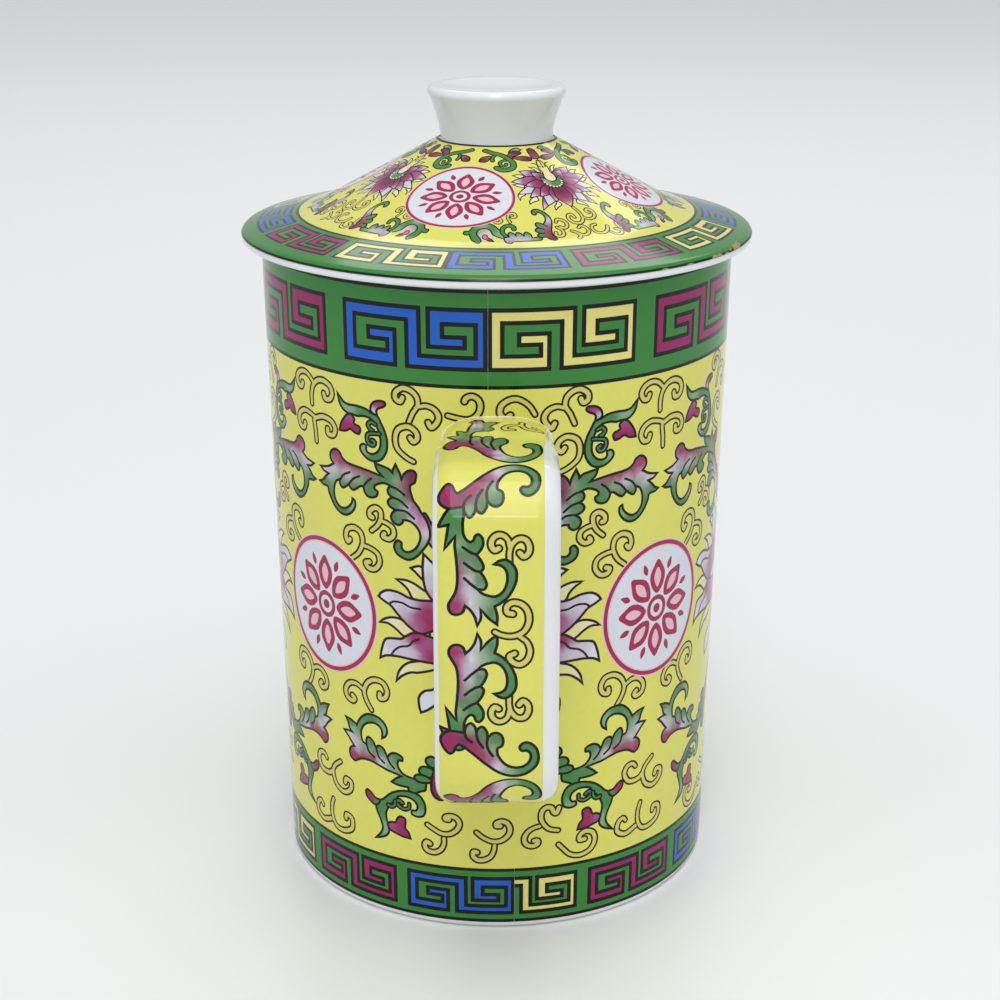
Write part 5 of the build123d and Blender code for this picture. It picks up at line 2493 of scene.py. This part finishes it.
@dataclass(frozen=True)
class SoftSky:
    """Wide even light from overhead, which falls alike on the mug and on the whole floor."""

    name: str
    lean: tuple[float, float, float]
    strength: float
    spread: float

    def hang(self) -> None:
        """Puts the light in the scene."""
        light = bpy.data.lights.new(self.name, "SUN")
        light.energy = self.strength
        light.angle = self.spread
        hang_light(light, -Vector(self.lean))


@dataclass
class Studio:
    """A pale floor, soft light all round and the camera."""

    floor_size: float = 3.0
    floor_tint: tuple[float, float, float, float] = (0.88, 0.895, 0.90, 1.0)
    floor_roughness: float = 0.35
    floor_specular: float = 0.3
    sky: float = 0.28
    sky_tint: tuple[float, float, float, float] = (0.94, 0.97, 1.0, 1.0)
    backdrop: tuple[float, float, float, float] = (0.55, 0.565, 0.57, 1.0)
    lens: float = 71.4
    sensor: float = 36.0
    nearest: float = 0.01
    camera_place: tuple[float, float, float] = (0.0, -0.3448, 0.1852)
    camera_dip: float = 0.332
    camera_shift: float = 0.0033
    lamps: tuple[SoftLamp | SoftSky, ...] = (
        SoftSky("overhead", (0.05, -0.25, 1.0), 1.08, 1.2),
        SoftSky("left_fill", (-0.9, -0.25, 0.35), 0.28, 1.0),
        SoftSky("right_fill", (0.9, -0.25, 0.35), 0.28, 1.0),
        SoftLamp("front_window", (-0.06, -1.29, 1.75), (0.56, 2.6), 16.6),
        SoftLamp("window_sill", (-0.02, -1.03, 0.38), (0.18, 0.05), 0.32),
        SoftLamp("back_window", (0.12, 0.9, 0.95), (0.9, 0.35), 2.4),
    )

    def lay_floor(self) -> None:
        """Lays the pale floor."""
        half = self.floor_size
        corners = [(*corner, 0.0) for corner in rectangle(-half, -half, half, half).tolist()]
        mesh = bpy.data.meshes.new("floor")
        mesh.from_pydata(corners, [], [(0, 1, 2, 3)])
        floor = put_in_scene("floor", mesh)
        material, bench = new_material("floor_paper")
        shader = bench.add(
            "ShaderNodeBsdfPrincipled",
            {
                "Base Color": self.floor_tint,
                "Roughness": self.floor_roughness,
                "Specular IOR Level": self.floor_specular,
            },
        )
        bench.add("ShaderNodeOutputMaterial", {"Surface": shader.outputs[0]})
        mesh.materials.append(material)

    def light(self) -> None:
        """Lights the mug softly from all round."""
        world = bpy.data.worlds.new("soft_room")
        world.use_nodes = True
        bench = NodeBench(world.node_tree)
        room = bench.add("ShaderNodeBackground", {"Color": self.sky_tint, "Strength": self.sky})
        seen = bench.add("ShaderNodeBackground", {"Color": self.backdrop})
        path = bench.add("ShaderNodeLightPath").outputs
        straight = bench.total(path["Is Camera Ray"], path["Is Glossy Ray"])
        clear = bench.total(straight, path["Is Transmission Ray"])
        mixed = bench.add("ShaderNodeMixShader", {0: clear, 1: room.outputs[0], 2: seen.outputs[0]})
        bench.add("ShaderNodeOutputWorld", {"Surface": mixed.outputs[0]})
        bpy.context.scene.world = world
        for lamp in self.lamps:
            lamp.hang()

    def set_camera(self) -> None:
        """Sets the camera at the photograph's viewing angle."""
        data = bpy.data.cameras.new("camera")
        data.lens = self.lens
        data.sensor_width = self.sensor
        data.shift_x = self.camera_shift
        data.clip_start = self.nearest
        camera = put_in_scene("camera", data)
        camera.location = self.camera_place
        camera.rotation_euler = (math.pi / 2 - self.camera_dip, 0.0, 0.0)
        bpy.context.scene.camera = camera
        bpy.context.scene.view_settings.view_transform = "Standard"


def dress_borders(turn: float, material: bpy.types.Material) -> None:
    """Builds every piece in fret enamel.

    Args:
        turn: How far the cup's drawings are turned from the handle, in radians.
        material: The fret enamel.
    """
    trio = (Tone.BUTTER, Tone.MAGENTA, Tone.BLUE)
    CupBorder(
        name="upper_border",
        turn=turn,
        low=98.95,
        high=115.2,
        run=FretRun(start=0.0, width=24.45, gap=3.9, low=101.9, high=112.2, tones=trio * 3),
        strips=4,
    ).build(material)
    lower_slip = 4.5
    lower_width = 19.5
    lower_first_width = 11.5
    CupBorder(
        name="lower_border",
        turn=turn + lower_slip / WALL_RADIUS,
        low=1.3,
        high=12.0,
        run=FretRun(
            start=0.0,
            width=lower_width,
            gap=2.3,
            low=2.95,
            high=10.2,
            tones=trio * 4,
            first_share=lower_first_width / lower_width,
        ),
        strips=5,
    ).build(material)
    LidBorder(
        turn=math.radians(-11.5),
        run=FretRun(
            start=0.0,
            width=math.radians(28.0) * WALL_RADIUS,
            gap=math.radians(24.0 / 11) * WALL_RADIUS,
            low=3.1,
            high=9.3,
            tones=(Tone.BLUE, Tone.MAGENTA, Tone.BUTTER) * 4,
            ink=0.5,
        ),
        crumbs=RIM_CRUMBS,
    ).build(material)


def main() -> None:
    """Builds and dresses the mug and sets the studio."""
    logging.basicConfig(level=logging.INFO, format="%(message)s")
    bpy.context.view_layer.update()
    effects = SharedEffects(glaze_ripple(), fired_mottle())
    porcelain = PorcelainFinish().make(effects)
    fret_enamel = EnamelFinish("fret_enamel_glaze", FRET_COAT).make(effects)
    scroll_enamel = EnamelFinish("scroll_enamel_glaze", SCROLL_COAT).make(effects)
    pattern_turn = math.radians(-1.95)
    PorcelainBody().glaze(porcelain)
    dress_borders(pattern_turn, fret_enamel)
    StrapHandle().build(porcelain)
    dress_scrolls(pattern_turn, scroll_enamel)
    studio = Studio()
    studio.lay_floor()
    studio.light()
    studio.set_camera()


if __name__ == "__main__":
    main()
